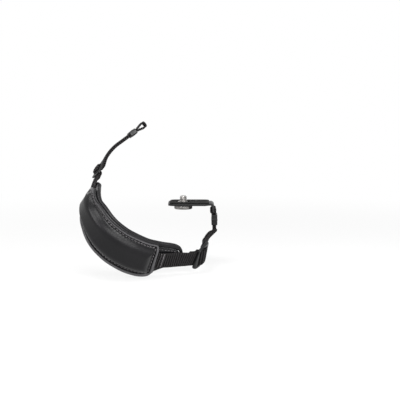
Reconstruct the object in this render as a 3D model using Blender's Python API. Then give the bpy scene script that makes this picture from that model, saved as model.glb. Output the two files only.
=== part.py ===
"""Camera hand grip strap in its worn shape: a padded leather pad on webbing, with a tripod plate.

Run with: blender --background --python part.py

The frame is the tripod plate's. The origin is a point on the top of its rubber facing, +Z is up
out of the plate, and the strap leaves the plate at its +X end. Everything soft follows one route,
the middle of the webbing. A place on the strap is written (s, v, h): s is the length along the route
from the plate, v is across it towards the fingers, and h is out from the hand.
"""

import math
from dataclasses import dataclass

import bmesh
import bpy
import numpy as np

MM = 0.001

# Tripod plate
PLATE_LENGTH = 0.0405
PLATE_WIDTH = 0.030
PLATE_THICKNESS = 0.0018
PLATE_CORNER = 0.006
PLATE_BEND_RADIUS = 0.0012
FACING_THICKNESS = 0.0009
FACING_BORDER = 0.0015
FACING_HOLE_RADIUS = 0.0062
SCREW_TO_ORIGIN = 0.0092
TAB_TO_ORIGIN = 0.01725
SLOT_LENGTH = 0.0172
SLOT_HEIGHT = 0.0027
SLOT_BELOW_PLATE = 0.0009
SLOT_BAR = 0.0022
TAB_WIDTH = 0.0234
NECK_TO_TAB = 0.0045
BEND_STEPS = 5
HOLE_SIDES = 32

# Captive screw
SCREW_RADIUS = 0.003175
SCREW_REACH = 0.0050
SCREW_HOLE_RADIUS = 0.0035
HEAD_RADIUS = 0.0080
HEAD_THICKNESS = 0.0038
HEAD_FLUTES = 20
HEAD_FLUTE_DEPTH = 0.0004
COIN_SLOT_WIDTH = 0.0016
COIN_SLOT_DEPTH = 0.0016
TIP_CHAMFER = 0.0006
GROOVE_RADIUS = 0.0026
CLIP_RADIUS = 0.0049
CLIP_THICKNESS = 0.0005
CLIP_OPENING = 0.0034

# Webbing
CLEARANCE = 0.00026
LOWER_WEB_WIDTH = 0.015
LOWER_WEB_THICKNESS = 0.0012
UPPER_WEB_WIDTH = 0.010
UPPER_WEB_THICKNESS = 0.0010
RING_EYE = 0.0030
WEB_END_GAP = 0.006
WEB_STEP = 0.0045
WEB_FOLD_RADIUS = 0.0014
LOOP_BELOW_BAR = 0.0009
LOOP_TO_KEEPER = 0.0003
RING_EYE_TAPER = 0.0050
RING_EYE_STRAIGHT = 0.0027

# Slide buckles
BUCKLE_SIDE_GAP = 0.0004
WEAVE_ANGLE = math.radians(60)
LOWER_TAIL = 0.006
UPPER_TAIL = 0.0025

# Keepers
KEEPER_HOLE_CORNER = 0.0003
KEEPER_LENGTH = 0.0090
KEEPER_WALL = 0.0010
KEEPER_SIDE_WALL = 0.0013
UPPER_KEEPER_LENGTH = 0.0060

# Inner pad, from the webbing's underside towards the hand
COVER_THICKNESS = 0.0009
FOAM_THICKNESS = 0.0022
LINING_THICKNESS = 0.0008
RIM_RADIUS = 0.0022
RIM_SIDES = 8
RIM_SEAM = 0.00020
RIM_CORNER = 0.0072
LAYER_EDGE = 0.0010

# Outer panel
PANEL_THICKNESS = 0.0012
PANEL_CORNER = 0.0045
PANEL_FINGER_BORDER = 0.0
PANEL_WRIST_BORDER = 0.0
BEAD_RADIUS = 0.0018
BEAD_LIFT = 0.0004
BEAD_STEPS = 5
GROOVE_DEPTH = 0.0003
STITCH_INSET = 0.0044
CROWN_STEP = 0.0014
CROWN_RINGS = 2
CROWN_HEIGHT = 0.0042
CROWN_REACH = 0.0135
PANEL_SLANT = 0.10
DRAPE_START = 0.0020
DRAPE = 0.0045

# Places along the route, from the top of the plate's slot bar
STRAIGHT_END = 0.0174
KEEPER_AT = 0.0096
BUCKLE_AT = 0.0695
PAD_START = 0.0875
PANEL_START = 0.1140
PANEL_END = 0.2075
PAD_END = 0.2175
UPPER_BUCKLE_AT = 0.2290
UPPER_KEEPER_TO_EYE = 0.0100

# Pad half widths across the route: (place, finger side, wrist side), in millimetres
PAD_EDGE = (
    (87.5, 5.0, 5.5),
    (91.0, 9.6, 6.8),
    (96.0, 13.4, 7.8),
    (102.0, 15.3, 9.0),
    (108.0, 16.0, 11.6),
    (114.0, 16.6, 15.2),
    (120.0, 17.2, 17.6),
    (132.0, 18.2, 19.0),
    (147.0, 19.0, 19.0),
    (160.0, 19.4, 18.6),
    (174.0, 19.2, 18.6),
    (186.0, 17.8, 19.0),
    (195.0, 14.8, 20.4),
    (202.0, 11.0, 18.4),
    (209.0, 7.4, 11.8),
    (217.5, 5.4, 5.6),
)

# Route of the webbing's middle from the slot bar: (point in millimetres, direction of the fingers)
ROUTE = (
    ((0.0, 0.0, 0.0), (0.00, -1.00, 0.00)),
    ((0.0, 0.0, -8.0), (0.00, -1.00, 0.00)),
    ((0.0, 0.0, -17.5), (0.00, -1.00, 0.00)),
    ((0.0, 0.0, -18.5), (0.00, -1.00, 0.00)),
    ((-5.8, -7.8, -25.2), (0.04, -0.92, 0.38)),
    ((-9.2, -23.2, -30.0), (0.06, -0.79, 0.61)),
    ((-9.9, -36.8, -31.6), (0.02, -0.66, 0.75)),
    ((-13.5, -43.0, -34.1), (0.02, -0.66, 0.75)),
    ((-17.7, -48.8, -36.6), (0.02, -0.66, 0.75)),
    ((-23.5, -53.2, -36.6), (0.06, -0.60, 0.80)),
    ((-31.8, -57.9, -36.1), (0.10, -0.51, 0.85)),
    ((-41.5, -63.0, -35.8), (0.15, -0.47, 0.87)),
    ((-51.0, -67.8, -34.6), (0.19, -0.44, 0.88)),
    ((-61.5, -73.8, -31.9), (0.28, -0.45, 0.85)),
    ((-72.0, -79.3, -26.8), (0.36, -0.46, 0.81)),
    ((-83.0, -83.5, -19.6), (0.43, -0.49, 0.76)),
    ((-91.6, -85.0, -11.1), (0.47, -0.53, 0.71)),
    ((-98.0, -84.0, -0.6), (0.46, -0.59, 0.66)),
    ((-101.6, -81.0, 8.9), (0.43, -0.64, 0.63)),
    ((-101.8, -76.5, 16.9), (0.39, -0.70, 0.60)),
    ((-101.0, -70.0, 23.6), (0.46, -0.71, 0.53)),
    ((-99.0, -61.5, 31.4), (0.50, -0.73, 0.45)),
    ((-95.2, -54.8, 39.9), (0.40, -0.81, 0.43)),
    ((-92.3, -48.2, 48.4), (0.30, -0.86, 0.42)),
    ((-84.8, -42.5, 57.9), (0.25, -0.94, 0.19)),
    ((-78.8, -40.25, 62.4), (0.25, -0.94, 0.19)),
    ((-60.8, -33.5, 75.9), (0.25, -0.94, 0.19)),
)

# Material looks: base colour, roughness, metallic
LEATHER = ((0.022, 0.021, 0.023), 0.48, 0.0)
RIM_LEATHER = ((0.020, 0.017, 0.017), 0.50, 0.0)
FOAM = ((0.060, 0.060, 0.062), 0.95, 0.0)
LINING = ((0.030, 0.026, 0.025), 0.90, 0.0)
WEBBING = ((0.017, 0.016, 0.016), 0.80, 0.0)
PLASTIC = ((0.018, 0.018, 0.020), 0.35, 0.0)
PLATE_METAL = ((0.030, 0.030, 0.032), 0.40, 1.0)
RUBBER = ((0.025, 0.025, 0.025), 0.85, 0.0)
STEEL = ((0.550, 0.550, 0.560), 0.30, 1.0)

# Derived heights and places
FACING_TOP = 0.0
PLATE_TOP = FACING_TOP - FACING_THICKNESS
PLATE_BOTTOM = PLATE_TOP - PLATE_THICKNESS
SLOT_TOP = PLATE_BOTTOM - SLOT_BELOW_PLATE
SLOT_FLOOR = SLOT_TOP - SLOT_HEIGHT
TAB_FOOT = SLOT_FLOOR - SLOT_BAR
LEAF_PITCH = LOWER_WEB_THICKNESS + CLEARANCE
UPPER_LEAF_PITCH = UPPER_WEB_THICKNESS + CLEARANCE
TAB_H = PLATE_THICKNESS / 2 + CLEARANCE + LOWER_WEB_THICKNESS / 2
ROUTE_START = (TAB_TO_ORIGIN + TAB_H, 0.0, SLOT_FLOOR)
COVER_TOP = -LOWER_WEB_THICKNESS / 2 - CLEARANCE
COVER_BOTTOM = COVER_TOP - COVER_THICKNESS
FOAM_TOP = COVER_BOTTOM - CLEARANCE
FOAM_BOTTOM = FOAM_TOP - FOAM_THICKNESS
LINING_TOP = FOAM_BOTTOM - CLEARANCE
LINING_BOTTOM = LINING_TOP - LINING_THICKNESS
RIM_H = (COVER_TOP + LINING_BOTTOM) / 2
PANEL_REST = RIM_H + RIM_RADIUS + CLEARANCE
PANEL_OVER_WEB = LOWER_WEB_THICKNESS / 2 + CLEARANCE


def smooth(t):
    """Return 0 to 1 with flat ends as t goes from 0 to 1."""
    t = np.clip(t, 0.0, 1.0)
    return t * t * (3 - 2 * t)


def hermite(knots, values, x):
    """Return the smooth curve through values at knots, read at every x."""
    knots, values, x = np.asarray(knots, float), np.asarray(values, float), np.asarray(x, float)
    step = np.diff(knots)
    slope = np.diff(values, axis=0) / step.reshape((-1,) + (1,) * (values.ndim - 1))
    tangent = np.empty_like(values)
    tangent[0], tangent[-1] = slope[0], slope[-1]
    for i in range(1, len(knots) - 1):
        share = step[i] / (step[i] + step[i - 1])
        tangent[i] = slope[i - 1] * share + slope[i] * (1 - share)
    i = np.clip(np.searchsorted(knots, x) - 1, 0, len(step) - 1)
    shape = x.shape + (1,) * (values.ndim - 1)
    h = step[i].reshape(shape)
    u = ((x - knots[i]) / step[i]).reshape(shape)
    return (
        (2 * u**3 - 3 * u**2 + 1) * values[i]
        + (u**3 - 2 * u**2 + u) * h * tangent[i]
        + (-2 * u**3 + 3 * u**2) * values[i + 1]
        + (u**3 - u**2) * h * tangent[i + 1]
    )


class Route:
    """The middle of the webbing as a smooth curve, with its across and outward directions."""

    SAMPLES = 1600

    def __init__(self, stations, start):
        points = np.array([p for p, _ in stations], float) * MM + np.array(start)
        across = np.array([b for _, b in stations], float)
        across /= np.linalg.norm(across, axis=1)[:, None]
        chord = np.linalg.norm(np.diff(points, axis=0), axis=1)
        knots = np.concatenate([[0.0], np.cumsum(chord)])
        fine = np.linspace(0.0, knots[-1], self.SAMPLES)
        self.points = hermite(knots, points, fine)
        self.across = hermite(knots, across, fine)
        step = np.linalg.norm(np.diff(self.points, axis=0), axis=1)
        self.lengths = np.concatenate([[0.0], np.cumsum(step)])
        self.length = self.lengths[-1]
        run = np.gradient(self.points, self.lengths, axis=0)
        self.run = run / np.linalg.norm(run, axis=1)[:, None]

    def read(self, table, s):
        """Return a sampled table's rows at the lengths s."""
        s = np.clip(s, 0.0, self.length)
        return np.stack([np.interp(s, self.lengths, table[:, k]) for k in range(3)], axis=-1)

    def place(self, s, v, h):
        """Return the world points of strap places (s, v, h), running straight on past both ends."""
        s, v, h = np.broadcast_arrays(np.asarray(s, float), v, h)
        run = self.read(self.run, s)
        run /= np.linalg.norm(run, axis=-1, keepdims=True)
        across = self.read(self.across, s)
        across = across - run * np.sum(across * run, axis=-1, keepdims=True)
        across /= np.linalg.norm(across, axis=-1, keepdims=True)
        outward = np.cross(across, run)
        beyond = s - np.clip(s, 0.0, self.length)
        middle = self.read(self.points, s) + run * beyond[..., None]
        return middle + across * v[..., None] + outward * h[..., None]


ROUTE_CURVE = Route(ROUTE, ROUTE_START)


@dataclass
class Slide:
    """A slide buckle's sizes: two side bars, a thinner centre bar and the slots between them."""

    web_width: float
    web_thickness: float
    thickness: float
    bar: float
    slot: float
    centre_bar: float
    centre_thickness: float
    wall: float
    corner: float

    @property
    def half_length(self):
        """Half the buckle's length along the strap."""
        return self.centre_bar / 2 + self.slot + self.bar

    @property
    def bar_h(self):
        """The height of the bars' middle over the webbing's middle."""
        return self.web_thickness / 2 + CLEARANCE + self.thickness / 2

    @property
    def centre_top(self):
        """The height of the centre bar's outer face."""
        return self.bar_h - self.thickness / 2 + self.centre_thickness


LOWER_SLIDE = Slide(
    web_width=LOWER_WEB_WIDTH,
    web_thickness=LOWER_WEB_THICKNESS,
    thickness=0.0022,
    bar=0.0028,
    slot=0.0043,
    centre_bar=0.0020,
    centre_thickness=0.0012,
    wall=0.0022,
    corner=0.0018,
)
UPPER_SLIDE = Slide(
    web_width=UPPER_WEB_WIDTH,
    web_thickness=UPPER_WEB_THICKNESS,
    thickness=0.0015,
    bar=0.0017,
    slot=0.0039,
    centre_bar=0.0015,
    centre_thickness=0.0010,
    wall=0.0017,
    corner=0.0013,
)


@dataclass
class Outline:
    """A long panel's edge on the strap, with rounded corners and ends that may be cut on a slant.

    finger_trim and wrist_trim are how far its sides lie inside the pad's.
    """

    start: float
    end: float
    finger_trim: float
    wrist_trim: float
    corner: float
    slant: float = 0.0
    long_steps: int = 22
    end_steps: int = 4
    corner_steps: int = 2

    def width(self, s, side):
        """Return the half width at s: side 1 is the finger side, side -1 the wrist side."""
        edge = np.array(PAD_EDGE) * MM
        column = 1 if side > 0 else 2
        s = np.clip(s, edge[0, 0], edge[-1, 0])
        trim = self.finger_trim if side > 0 else self.wrist_trim
        return hermite(edge[:, 0], edge[:, column], s) - trim

    def ring(self, inset):
        """Return the (s, v) points round the edge, moved in by inset."""
        radius = max(self.corner - inset, self.corner * 0.25)
        first, last = self.start + inset, self.end - inset
        points = []
        for side, begin, finish in ((1, first, last), (-1, last, first)):
            way = math.copysign(1.0, finish - begin)
            along = [(a, begin + way * radius * (1 - math.cos(a))) for a in self.angles(45, 90)]
            middle = np.linspace(begin + way * radius, finish - way * radius, self.long_steps + 1)
            along += [(math.pi / 2, s) for s in middle[1:-1]]
            along += [(a, finish - way * radius * (1 - math.cos(a))) for a in self.angles(90, 45)]
            for angle, s in along:
                v = side * (self.width(s, side) - inset - radius * (1 - math.sin(angle)))
                points.append((s, v))
            points += self.end_points(finish, way, radius, inset, side)
        points = np.array(points)
        points[:, 0] += self.slant * points[:, 1] * self.slant_share(points[:, 0])
        return points

    def slant_share(self, s):
        """Return how much of the slant applies at s: all at the start, none past the middle."""
        return 1 - smooth((s - self.start) / (self.end - self.start) * 2)

    def angles(self, first, last):
        """Return the steps of half a corner between two angles in degrees."""
        steps = self.corner_steps
        return [math.radians(first + (last - first) * k / steps) for k in range(steps + 1)]

    def end_points(self, s_end, way, radius, inset, side):
        """Return the points that cross the end from one corner's middle to the other's."""
        points = []
        for angle in self.angles(45, 0)[1:]:
            s = s_end - way * radius * (1 - math.cos(angle))
            v = side * (self.width(s, side) - inset - radius * (1 - math.sin(angle)))
            points.append((s, v))
        v_a = points[-1][1]
        v_b = -side * (self.width(s_end, -side) - inset - radius)
        points += [(s_end, v) for v in np.linspace(v_a, v_b, self.end_steps + 1)[1:]]
        for angle in self.angles(0, 45)[1:-1]:
            s = s_end - way * radius * (1 - math.cos(angle))
            v = -side * (self.width(s, -side) - inset - radius * (1 - math.sin(angle)))
            points.append((s, v))
        return points

    def sides(self):
        """Return how many steps a long side and an end take, corner middle to corner middle."""
        return self.long_steps + 2 * self.corner_steps, self.end_steps + 2 * self.corner_steps

    def inner_grid(self, inset):
        """Return a grid of (s, v) points that fills the ring at this inset."""
        ring = self.ring(inset)
        n_long, n_end = self.sides()
        top = ring[: n_long + 1]
        right = ring[n_long : n_long + n_end + 1]
        bottom = ring[n_long + n_end : 2 * n_long + n_end + 1][::-1]
        left = np.vstack([ring[2 * n_long + n_end :], ring[:1]])[::-1]
        a = np.linspace(0, 1, n_long + 1)[:, None, None]
        b = np.linspace(0, 1, n_end + 1)[None, :, None]
        blend = (1 - b) * top[:, None] + b * bottom[:, None] + (1 - a) * left[None] + a * right[None]
        corners = (
            (1 - a) * (1 - b) * top[0]
            + a * (1 - b) * top[-1]
            + (1 - a) * b * bottom[0]
            + a * b * bottom[-1]
        )
        return blend - corners


def tidy_object(name, mesh_builder, look, collection):
    """Make a named object with its own material from a bmesh, all faces turned outwards."""
    bmesh.ops.remove_doubles(mesh_builder, verts=mesh_builder.verts, dist=1e-6)
    bmesh.ops.recalc_face_normals(mesh_builder, faces=mesh_builder.faces)
    mesh = bpy.data.meshes.new(name)
    mesh_builder.to_mesh(mesh)
    mesh_builder.free()
    return add_object(name, mesh, look, collection)


def add_object(name, mesh, look, collection):
    """Link a mesh as a named object, shaded smooth, with its own material."""
    mesh.shade_smooth()
    mesh.set_sharp_from_angle(angle=math.radians(35))
    obj = bpy.data.objects.new(name, mesh)
    collection.objects.link(obj)
    if look is not None:
        mesh.materials.clear()
        mesh.materials.append(make_material(name, look))
    return obj


def make_material(name, look):
    """Return a new material with the look's colour, roughness and metallic value."""
    colour, roughness, metallic = look
    material = bpy.data.materials.new(name + "_material")
    material.use_nodes = True
    shader = material.node_tree.nodes["Principled BSDF"]
    shader.inputs["Base Color"].default_value = (*colour, 1.0)
    shader.inputs["Roughness"].default_value = roughness
    shader.inputs["Metallic"].default_value = metallic
    return material


def strap_verts(mesh_builder, places):
    """Add one vertex for each (s, v, h) place and return them."""
    places = np.asarray(places, float)
    world = ROUTE_CURVE.place(places[:, 0], places[:, 1], places[:, 2])
    return [mesh_builder.verts.new(p) for p in world]


def bridge(mesh_builder, ring_a, ring_b, closed=True):
    """Join two rows of vertices with quads."""
    count = len(ring_a) if closed else len(ring_a) - 1
    for i in range(count):
        j = (i + 1) % len(ring_a)
        mesh_builder.faces.new((ring_a[i], ring_a[j], ring_b[j], ring_b[i]))


def layered_panel(name, outline, top, bottom, core, look, collection):
    """Make a closed panel on the strap.

    top and bottom are lists of (inset, height function) from the edge inwards, core is the inset of
    the ring that the inner grids fill, and each height function takes (s, v, inset).
    """
    build = bmesh.new()
    surfaces = []
    for profile in (top, bottom):
        rings = []
        for inset, height in profile:
            ring = outline.ring(inset)
            h = height(ring[:, 0], ring[:, 1], inset)
            rings.append(strap_verts(build, np.column_stack([ring, h])))
        for outer, inner in zip(rings, rings[1:]):
            bridge(build, outer, inner)
        fill_core(build, outline, rings[-1], core, profile[-1][1])
        surfaces.append(rings[0])
    bridge(build, surfaces[0], surfaces[1])
    return tidy_object(name, build, look, collection)


def fill_core(build, outline, ring, core, height):
    """Fill the last ring of a surface with a grid whose heights come from the same function."""
    grid = outline.inner_grid(core)
    n_long, n_end = outline.sides()
    rows = [[None] * (n_end + 1) for _ in range(n_long + 1)]
    for i in range(n_long + 1):
        rows[i][0] = ring[i]
        rows[i][n_end] = ring[(2 * n_long + n_end - i) % len(ring)]
    for j in range(n_end + 1):
        rows[n_long][j] = ring[n_long + j]
        rows[0][j] = ring[-j % len(ring)]
    inner = grid[1:-1, 1:-1]
    depth = edge_distance(outline, inner[..., 0], inner[..., 1])
    h = height(inner[..., 0], inner[..., 1], np.maximum(depth, core))
    world = ROUTE_CURVE.place(inner[..., 0], inner[..., 1], h)
    for i in range(1, n_long):
        for j in range(1, n_end):
            rows[i][j] = build.verts.new(world[i - 1, j - 1])
    for row_a, row_b in zip(rows, rows[1:]):
        bridge(build, row_a, row_b, closed=False)


def edge_distance(outline, s, v):
    """Return how far the places lie inside the outline's edge."""
    from_start = s - outline.start - outline.slant * v * outline.slant_share(s)
    to_end = outline.end - s
    sideways = np.where(v > 0, outline.width(s, 1) - v, outline.width(s, -1) + v)
    return np.minimum(np.minimum(from_start, to_end), sideways)


def level(height):
    """Return a height function that is the same everywhere."""
    return lambda s, v, inset: np.full(np.shape(s), height)


def panel_floor(s, v):
    """Return the height of the outer panel's underside: on the pad, or draped over the webbing."""
    to_upper = smooth((s - (PANEL_START + PANEL_END) / 2) / (PANEL_END - PANEL_START) * 4)
    half = (LOWER_WEB_WIDTH * (1 - to_upper) + UPPER_WEB_WIDTH * to_upper) / 2
    off_web = smooth((np.abs(v) - half - DRAPE_START) / DRAPE)
    return PANEL_OVER_WEB + (PANEL_REST - PANEL_OVER_WEB) * off_web


def crown(inset):
    """Return the crown's rise at an inset from the panel's edge."""
    t = np.clip((np.asarray(inset) - STITCH_INSET) / CROWN_REACH, 0.0, 1.0)
    return CROWN_HEIGHT * np.sin(t * math.pi / 2) ** 0.9


def panel_face(rise):
    """Return the height function of a panel surface that lies rise above the panel's underside."""
    return lambda s, v, inset: panel_floor(s, v) + rise + crown(inset)


def panel_outline():
    """Return the outer panel's edge."""
    return Outline(
        PANEL_START,
        PANEL_END,
        PANEL_FINGER_BORDER,
        PANEL_WRIST_BORDER,
        PANEL_CORNER,
        slant=PANEL_SLANT,
        long_steps=18,
        end_steps=6,
    )


def crown_insets():
    """Return the insets of the rings where the crown rises from the stitch groove."""
    return [STITCH_INSET + CROWN_STEP * (k + 1) for k in range(CROWN_RINGS)]


def build_outer_panel(collection):
    """Make the leather panel: rolled bead, stitch groove and crown, one skin of even thickness."""
    turns = [math.pi * step / BEAD_STEPS for step in range(BEAD_STEPS)]
    top = [
        (BEAD_RADIUS * (1 - math.cos(a)), panel_face(BEAD_LIFT + BEAD_RADIUS * math.sin(a)))
        for a in turns
    ]
    top.append((2 * BEAD_RADIUS, panel_face(PANEL_THICKNESS)))
    top.append((STITCH_INSET, panel_face(PANEL_THICKNESS - GROOVE_DEPTH)))
    top += [(inset, panel_face(PANEL_THICKNESS)) for inset in crown_insets()]
    bottom = [(BEAD_LIFT, panel_face(0.0)), (STITCH_INSET, panel_face(0.0))]
    bottom += [(inset, panel_face(0.0)) for inset in crown_insets()]
    core = crown_insets()[-1]
    return layered_panel("outer_panel", panel_outline(), top, bottom, core, LEATHER, collection)


def build_panel_foam(collection):
    """Make the foam that fills the crown between the leather and the webbing."""
    core = crown_insets()[-1]
    over = [(core, panel_face(-CLEARANCE))]
    under = [(core, lambda s, v, inset: panel_floor(s, v))]
    return layered_panel("panel_foam", panel_outline(), over, under, core, FOAM, collection)


def build_inner_pad(collection):
    """Make the inner pad's three layers and the rolled rim round them."""
    trim = 2 * RIM_RADIUS + CLEARANCE + RIM_SEAM
    layers = (
        ("inner_cover", COVER_TOP, COVER_BOTTOM, LEATHER),
        ("inner_foam", FOAM_TOP, FOAM_BOTTOM, FOAM),
        ("inner_lining", LINING_TOP, LINING_BOTTOM, LINING),
    )
    outline = Outline(
        PAD_START + trim, PAD_END - trim, trim, trim, RIM_RADIUS, long_steps=22, end_steps=2
    )
    for name, upper, lower, look in layers:
        top = [(0.0, level(upper)), (LAYER_EDGE, level(upper))]
        bottom = [(0.0, level(lower)), (LAYER_EDGE, level(lower))]
        layered_panel(name, outline, top, bottom, LAYER_EDGE, look, collection)
    build_rim(collection)


def build_rim(collection):
    """Make the rolled rim: a round cord of leather along the inner pad's edge."""
    rim = Outline(
        PAD_START, PAD_END, 0.0, 0.0, RIM_CORNER, long_steps=26, end_steps=2, corner_steps=3
    )
    build = bmesh.new()
    rings = []
    for k in range(RIM_SIDES):
        angle = 2 * math.pi * k / RIM_SIDES
        ring = rim.ring(RIM_RADIUS * (1 - math.cos(angle)))
        h = np.full(len(ring), RIM_H + RIM_RADIUS * math.sin(angle))
        rings.append(strap_verts(build, np.column_stack([ring, h])))
    for outer, inner in zip(rings, rings[1:] + rings[:1]):
        bridge(build, outer, inner)
    tidy_object("rim_piping", build, RIM_LEATHER, collection)


def offset_path(points, distance):
    """Return an open (s, h) path moved sideways by distance, with mitred corners."""
    points = np.asarray(points, float)
    run = np.diff(points, axis=0)
    run /= np.linalg.norm(run, axis=1)[:, None]
    side = np.column_stack([-run[:, 1], run[:, 0]])
    moved = [points[0] + side[0] * distance]
    for i in range(1, len(points) - 1):
        bisector = side[i - 1] + side[i]
        bisector /= np.linalg.norm(bisector)
        moved.append(points[i] + bisector * distance / (bisector @ side[i]))
    moved.append(points[-1] + side[-1] * distance)
    return np.array(moved)


def round_path(points, radius, steps=4):
    """Return an open (s, h) path with its corners rounded."""
    points = np.asarray(points, float)
    rounded = [points[0]]
    for before, corner, after in zip(points, points[1:], points[2:]):
        to_a, to_b = before - corner, after - corner
        length_a, length_b = np.linalg.norm(to_a), np.linalg.norm(to_b)
        to_a, to_b = to_a / length_a, to_b / length_b
        half = math.acos(float(np.clip(to_a @ to_b, -1, 1))) / 2
        if half > math.radians(89):
            rounded.append(corner)
            continue
        cut = min(radius / math.tan(half), 0.48 * min(length_a, length_b))
        for k in range(steps + 1):
            t = k / steps
            rounded.append(corner + to_a * cut * (1 - t) ** 2 + to_b * cut * t**2)
    rounded.append(points[-1])
    return np.array(rounded)


def fill_path(points, longest):
    """Return the path with long stretches cut into shorter steps."""
    filled = [points[0]]
    for a, b in zip(points, points[1:]):
        parts = max(1, math.ceil(np.linalg.norm(b - a) / longest))
        filled += [a + (b - a) * k / parts for k in range(1, parts + 1)]
    return np.array(filled)


def ribbon(name, path, width, thickness, collection):
    """Make a flat webbing of even thickness along an (s, h) path."""
    path = fill_path(path, WEB_STEP)
    keep = np.concatenate([[True], np.linalg.norm(np.diff(path, axis=0), axis=1) > 1e-6])
    path = path[keep]
    outer, inner = offset_path(path, thickness / 2), offset_path(path, -thickness / 2)
    build = bmesh.new()
    rows = []
    for (s_a, h_a), (s_b, h_b) in zip(outer, inner):
        edge = width / 2
        places = [(s_a, edge, h_a), (s_a, -edge, h_a), (s_b, -edge, h_b), (s_b, edge, h_b)]
        rows.append(strap_verts(build, places))
    for row_a, row_b in zip(rows, rows[1:]):
        bridge(build, row_a, row_b)
    build.faces.new(rows[0])
    build.faces.new(rows[-1])
    return tidy_object(name, build, WEBBING, collection)


def weave(slide, centre, pitch, way):
    """Return the (s, h) middle of two webbing layers as they pass a slide buckle.

    They pass under both side bars and over the centre bar. way is 1 where s grows along the path.
    """
    low = -pitch / 2
    high = slide.centre_top + CLEARANCE + slide.web_thickness / 2 + pitch / 2
    under_corner = (slide.centre_bar / 2 + slide.slot, slide.bar_h - slide.thickness / 2)
    over_corner = (slide.centre_bar / 2, slide.centre_top)
    mid_s = (under_corner[0] + over_corner[0]) / 2
    mid_h = (under_corner[1] + over_corner[1]) / 2
    foot = mid_s + (mid_h - low) / math.tan(WEAVE_ANGLE)
    head = mid_s - (high - mid_h) / math.tan(WEAVE_ANGLE)
    return [
        (centre - way * foot, low),
        (centre - way * head, high),
        (centre + way * head, high),
        (centre + way * foot, low),
    ]


def build_lower_webbing(collection):
    """Make the lower webbing: out of the pad, through the buckle, round the slot bar and back."""
    inside_pad = (PANEL_START + PANEL_END) / 2 - WEB_END_GAP / 2
    tail_end = BUCKLE_AT + LOWER_SLIDE.half_length + LOWER_TAIL
    leave_bar = SLOT_BAR + LOOP_BELOW_BAR
    join = KEEPER_AT - KEEPER_LENGTH / 2 - LOOP_TO_KEEPER
    middle = [(inside_pad, -LEAF_PITCH / 2)]
    middle += weave(LOWER_SLIDE, BUCKLE_AT, LEAF_PITCH, -1)
    middle += [(STRAIGHT_END, -LEAF_PITCH / 2), (join, -LEAF_PITCH / 2)]
    outer = offset_path(middle, -LEAF_PITCH / 2)
    inner = offset_path([(tail_end, -LEAF_PITCH / 2)] + middle[1:], LEAF_PITCH / 2)[::-1]
    top = -CLEARANCE - LOWER_WEB_THICKNESS / 2
    loop = [(top, 0.0), (top, -2 * TAB_H), (leave_bar, -2 * TAB_H)]
    path = np.vstack([outer[:-1], loop, inner])
    path = round_path(path, WEB_FOLD_RADIUS)
    return ribbon("lower_webbing", path, LOWER_WEB_WIDTH, LOWER_WEB_THICKNESS, collection)


def build_upper_webbing(collection):
    """Make the upper webbing: out of the pad, through its buckle, round the ring's eye and back."""
    inside_pad = (PANEL_START + PANEL_END) / 2 + WEB_END_GAP / 2
    tail_end = UPPER_BUCKLE_AT - UPPER_SLIDE.half_length - UPPER_TAIL
    end = ROUTE_CURVE.length
    part_at = end - RING_EYE - RING_EYE_TAPER
    middle = [(inside_pad, -UPPER_LEAF_PITCH / 2)]
    middle += weave(UPPER_SLIDE, UPPER_BUCKLE_AT, UPPER_LEAF_PITCH, 1)
    middle += [(part_at, -UPPER_LEAF_PITCH / 2)]
    outer = offset_path(middle, UPPER_LEAF_PITCH / 2)
    inner = offset_path([(tail_end, -UPPER_LEAF_PITCH / 2)] + middle[1:], -UPPER_LEAF_PITCH / 2)[::-1]
    half_eye = (RING_EYE + UPPER_WEB_THICKNESS) / 2
    mid_h = -UPPER_LEAF_PITCH / 2
    eye = [
        (end - RING_EYE_STRAIGHT, mid_h + half_eye),
        (end, mid_h + half_eye),
        (end, mid_h - half_eye),
        (end - RING_EYE_STRAIGHT, mid_h - half_eye),
    ]
    path = round_path(np.vstack([outer, eye, inner]), WEB_FOLD_RADIUS)
    return ribbon("upper_webbing", path, UPPER_WEB_WIDTH, UPPER_WEB_THICKNESS, collection)


def rounded_rectangle(half_x, half_y, radius, steps=3):
    """Return the points of a rectangle with rounded corners, counter-clockwise."""
    points = []
    for quarter, (sx, sy) in enumerate(((1, 1), (-1, 1), (-1, -1), (1, -1))):
        for k in range(steps + 1):
            angle = math.pi / 2 * (quarter + k / steps)
            x = sx * (half_x - radius) + radius * math.cos(angle)
            y = sy * (half_y - radius) + radius * math.sin(angle)
            points.append((x, y))
    return points


def flat_part(outlines, half_thickness):
    """Return a flat mesh from closed outlines: the first is the edge, the others are holes."""
    curve = bpy.data.curves.new("outline", "CURVE")
    curve.dimensions = "2D"
    curve.fill_mode = "BOTH"
    curve.extrude = half_thickness
    for outline in outlines:
        spline = curve.splines.new("POLY")
        spline.points.add(len(outline) - 1)
        for point, (x, y) in zip(spline.points, outline):
            point.co = (x, y, 0.0, 1.0)
        spline.use_cyclic_u = True
    holder = bpy.data.objects.new("outline", curve)
    bpy.context.scene.collection.objects.link(holder)
    graph = bpy.context.evaluated_depsgraph_get()
    mesh = bpy.data.meshes.new_from_object(holder.evaluated_get(graph))
    bpy.data.objects.remove(holder)
    bpy.data.curves.remove(curve)
    build = bmesh.new()
    build.from_mesh(mesh)
    bmesh.ops.remove_doubles(build, verts=build.verts, dist=1e-6)
    bmesh.ops.recalc_face_normals(build, faces=build.faces)
    build.to_mesh(mesh)
    build.free()
    return mesh


def bend_onto_strap(mesh, axes, centre, h_centre):
    """Move a flat mesh's points onto the strap: axes says which local axes are s, v and h."""
    local = np.array([vert.co for vert in mesh.vertices])
    world = ROUTE_CURVE.place(
        centre + local[:, axes[0]], local[:, axes[1]], h_centre + local[:, axes[2]]
    )
    mesh.vertices.foreach_set("co", world.ravel())
    turn_outwards(mesh)


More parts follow.
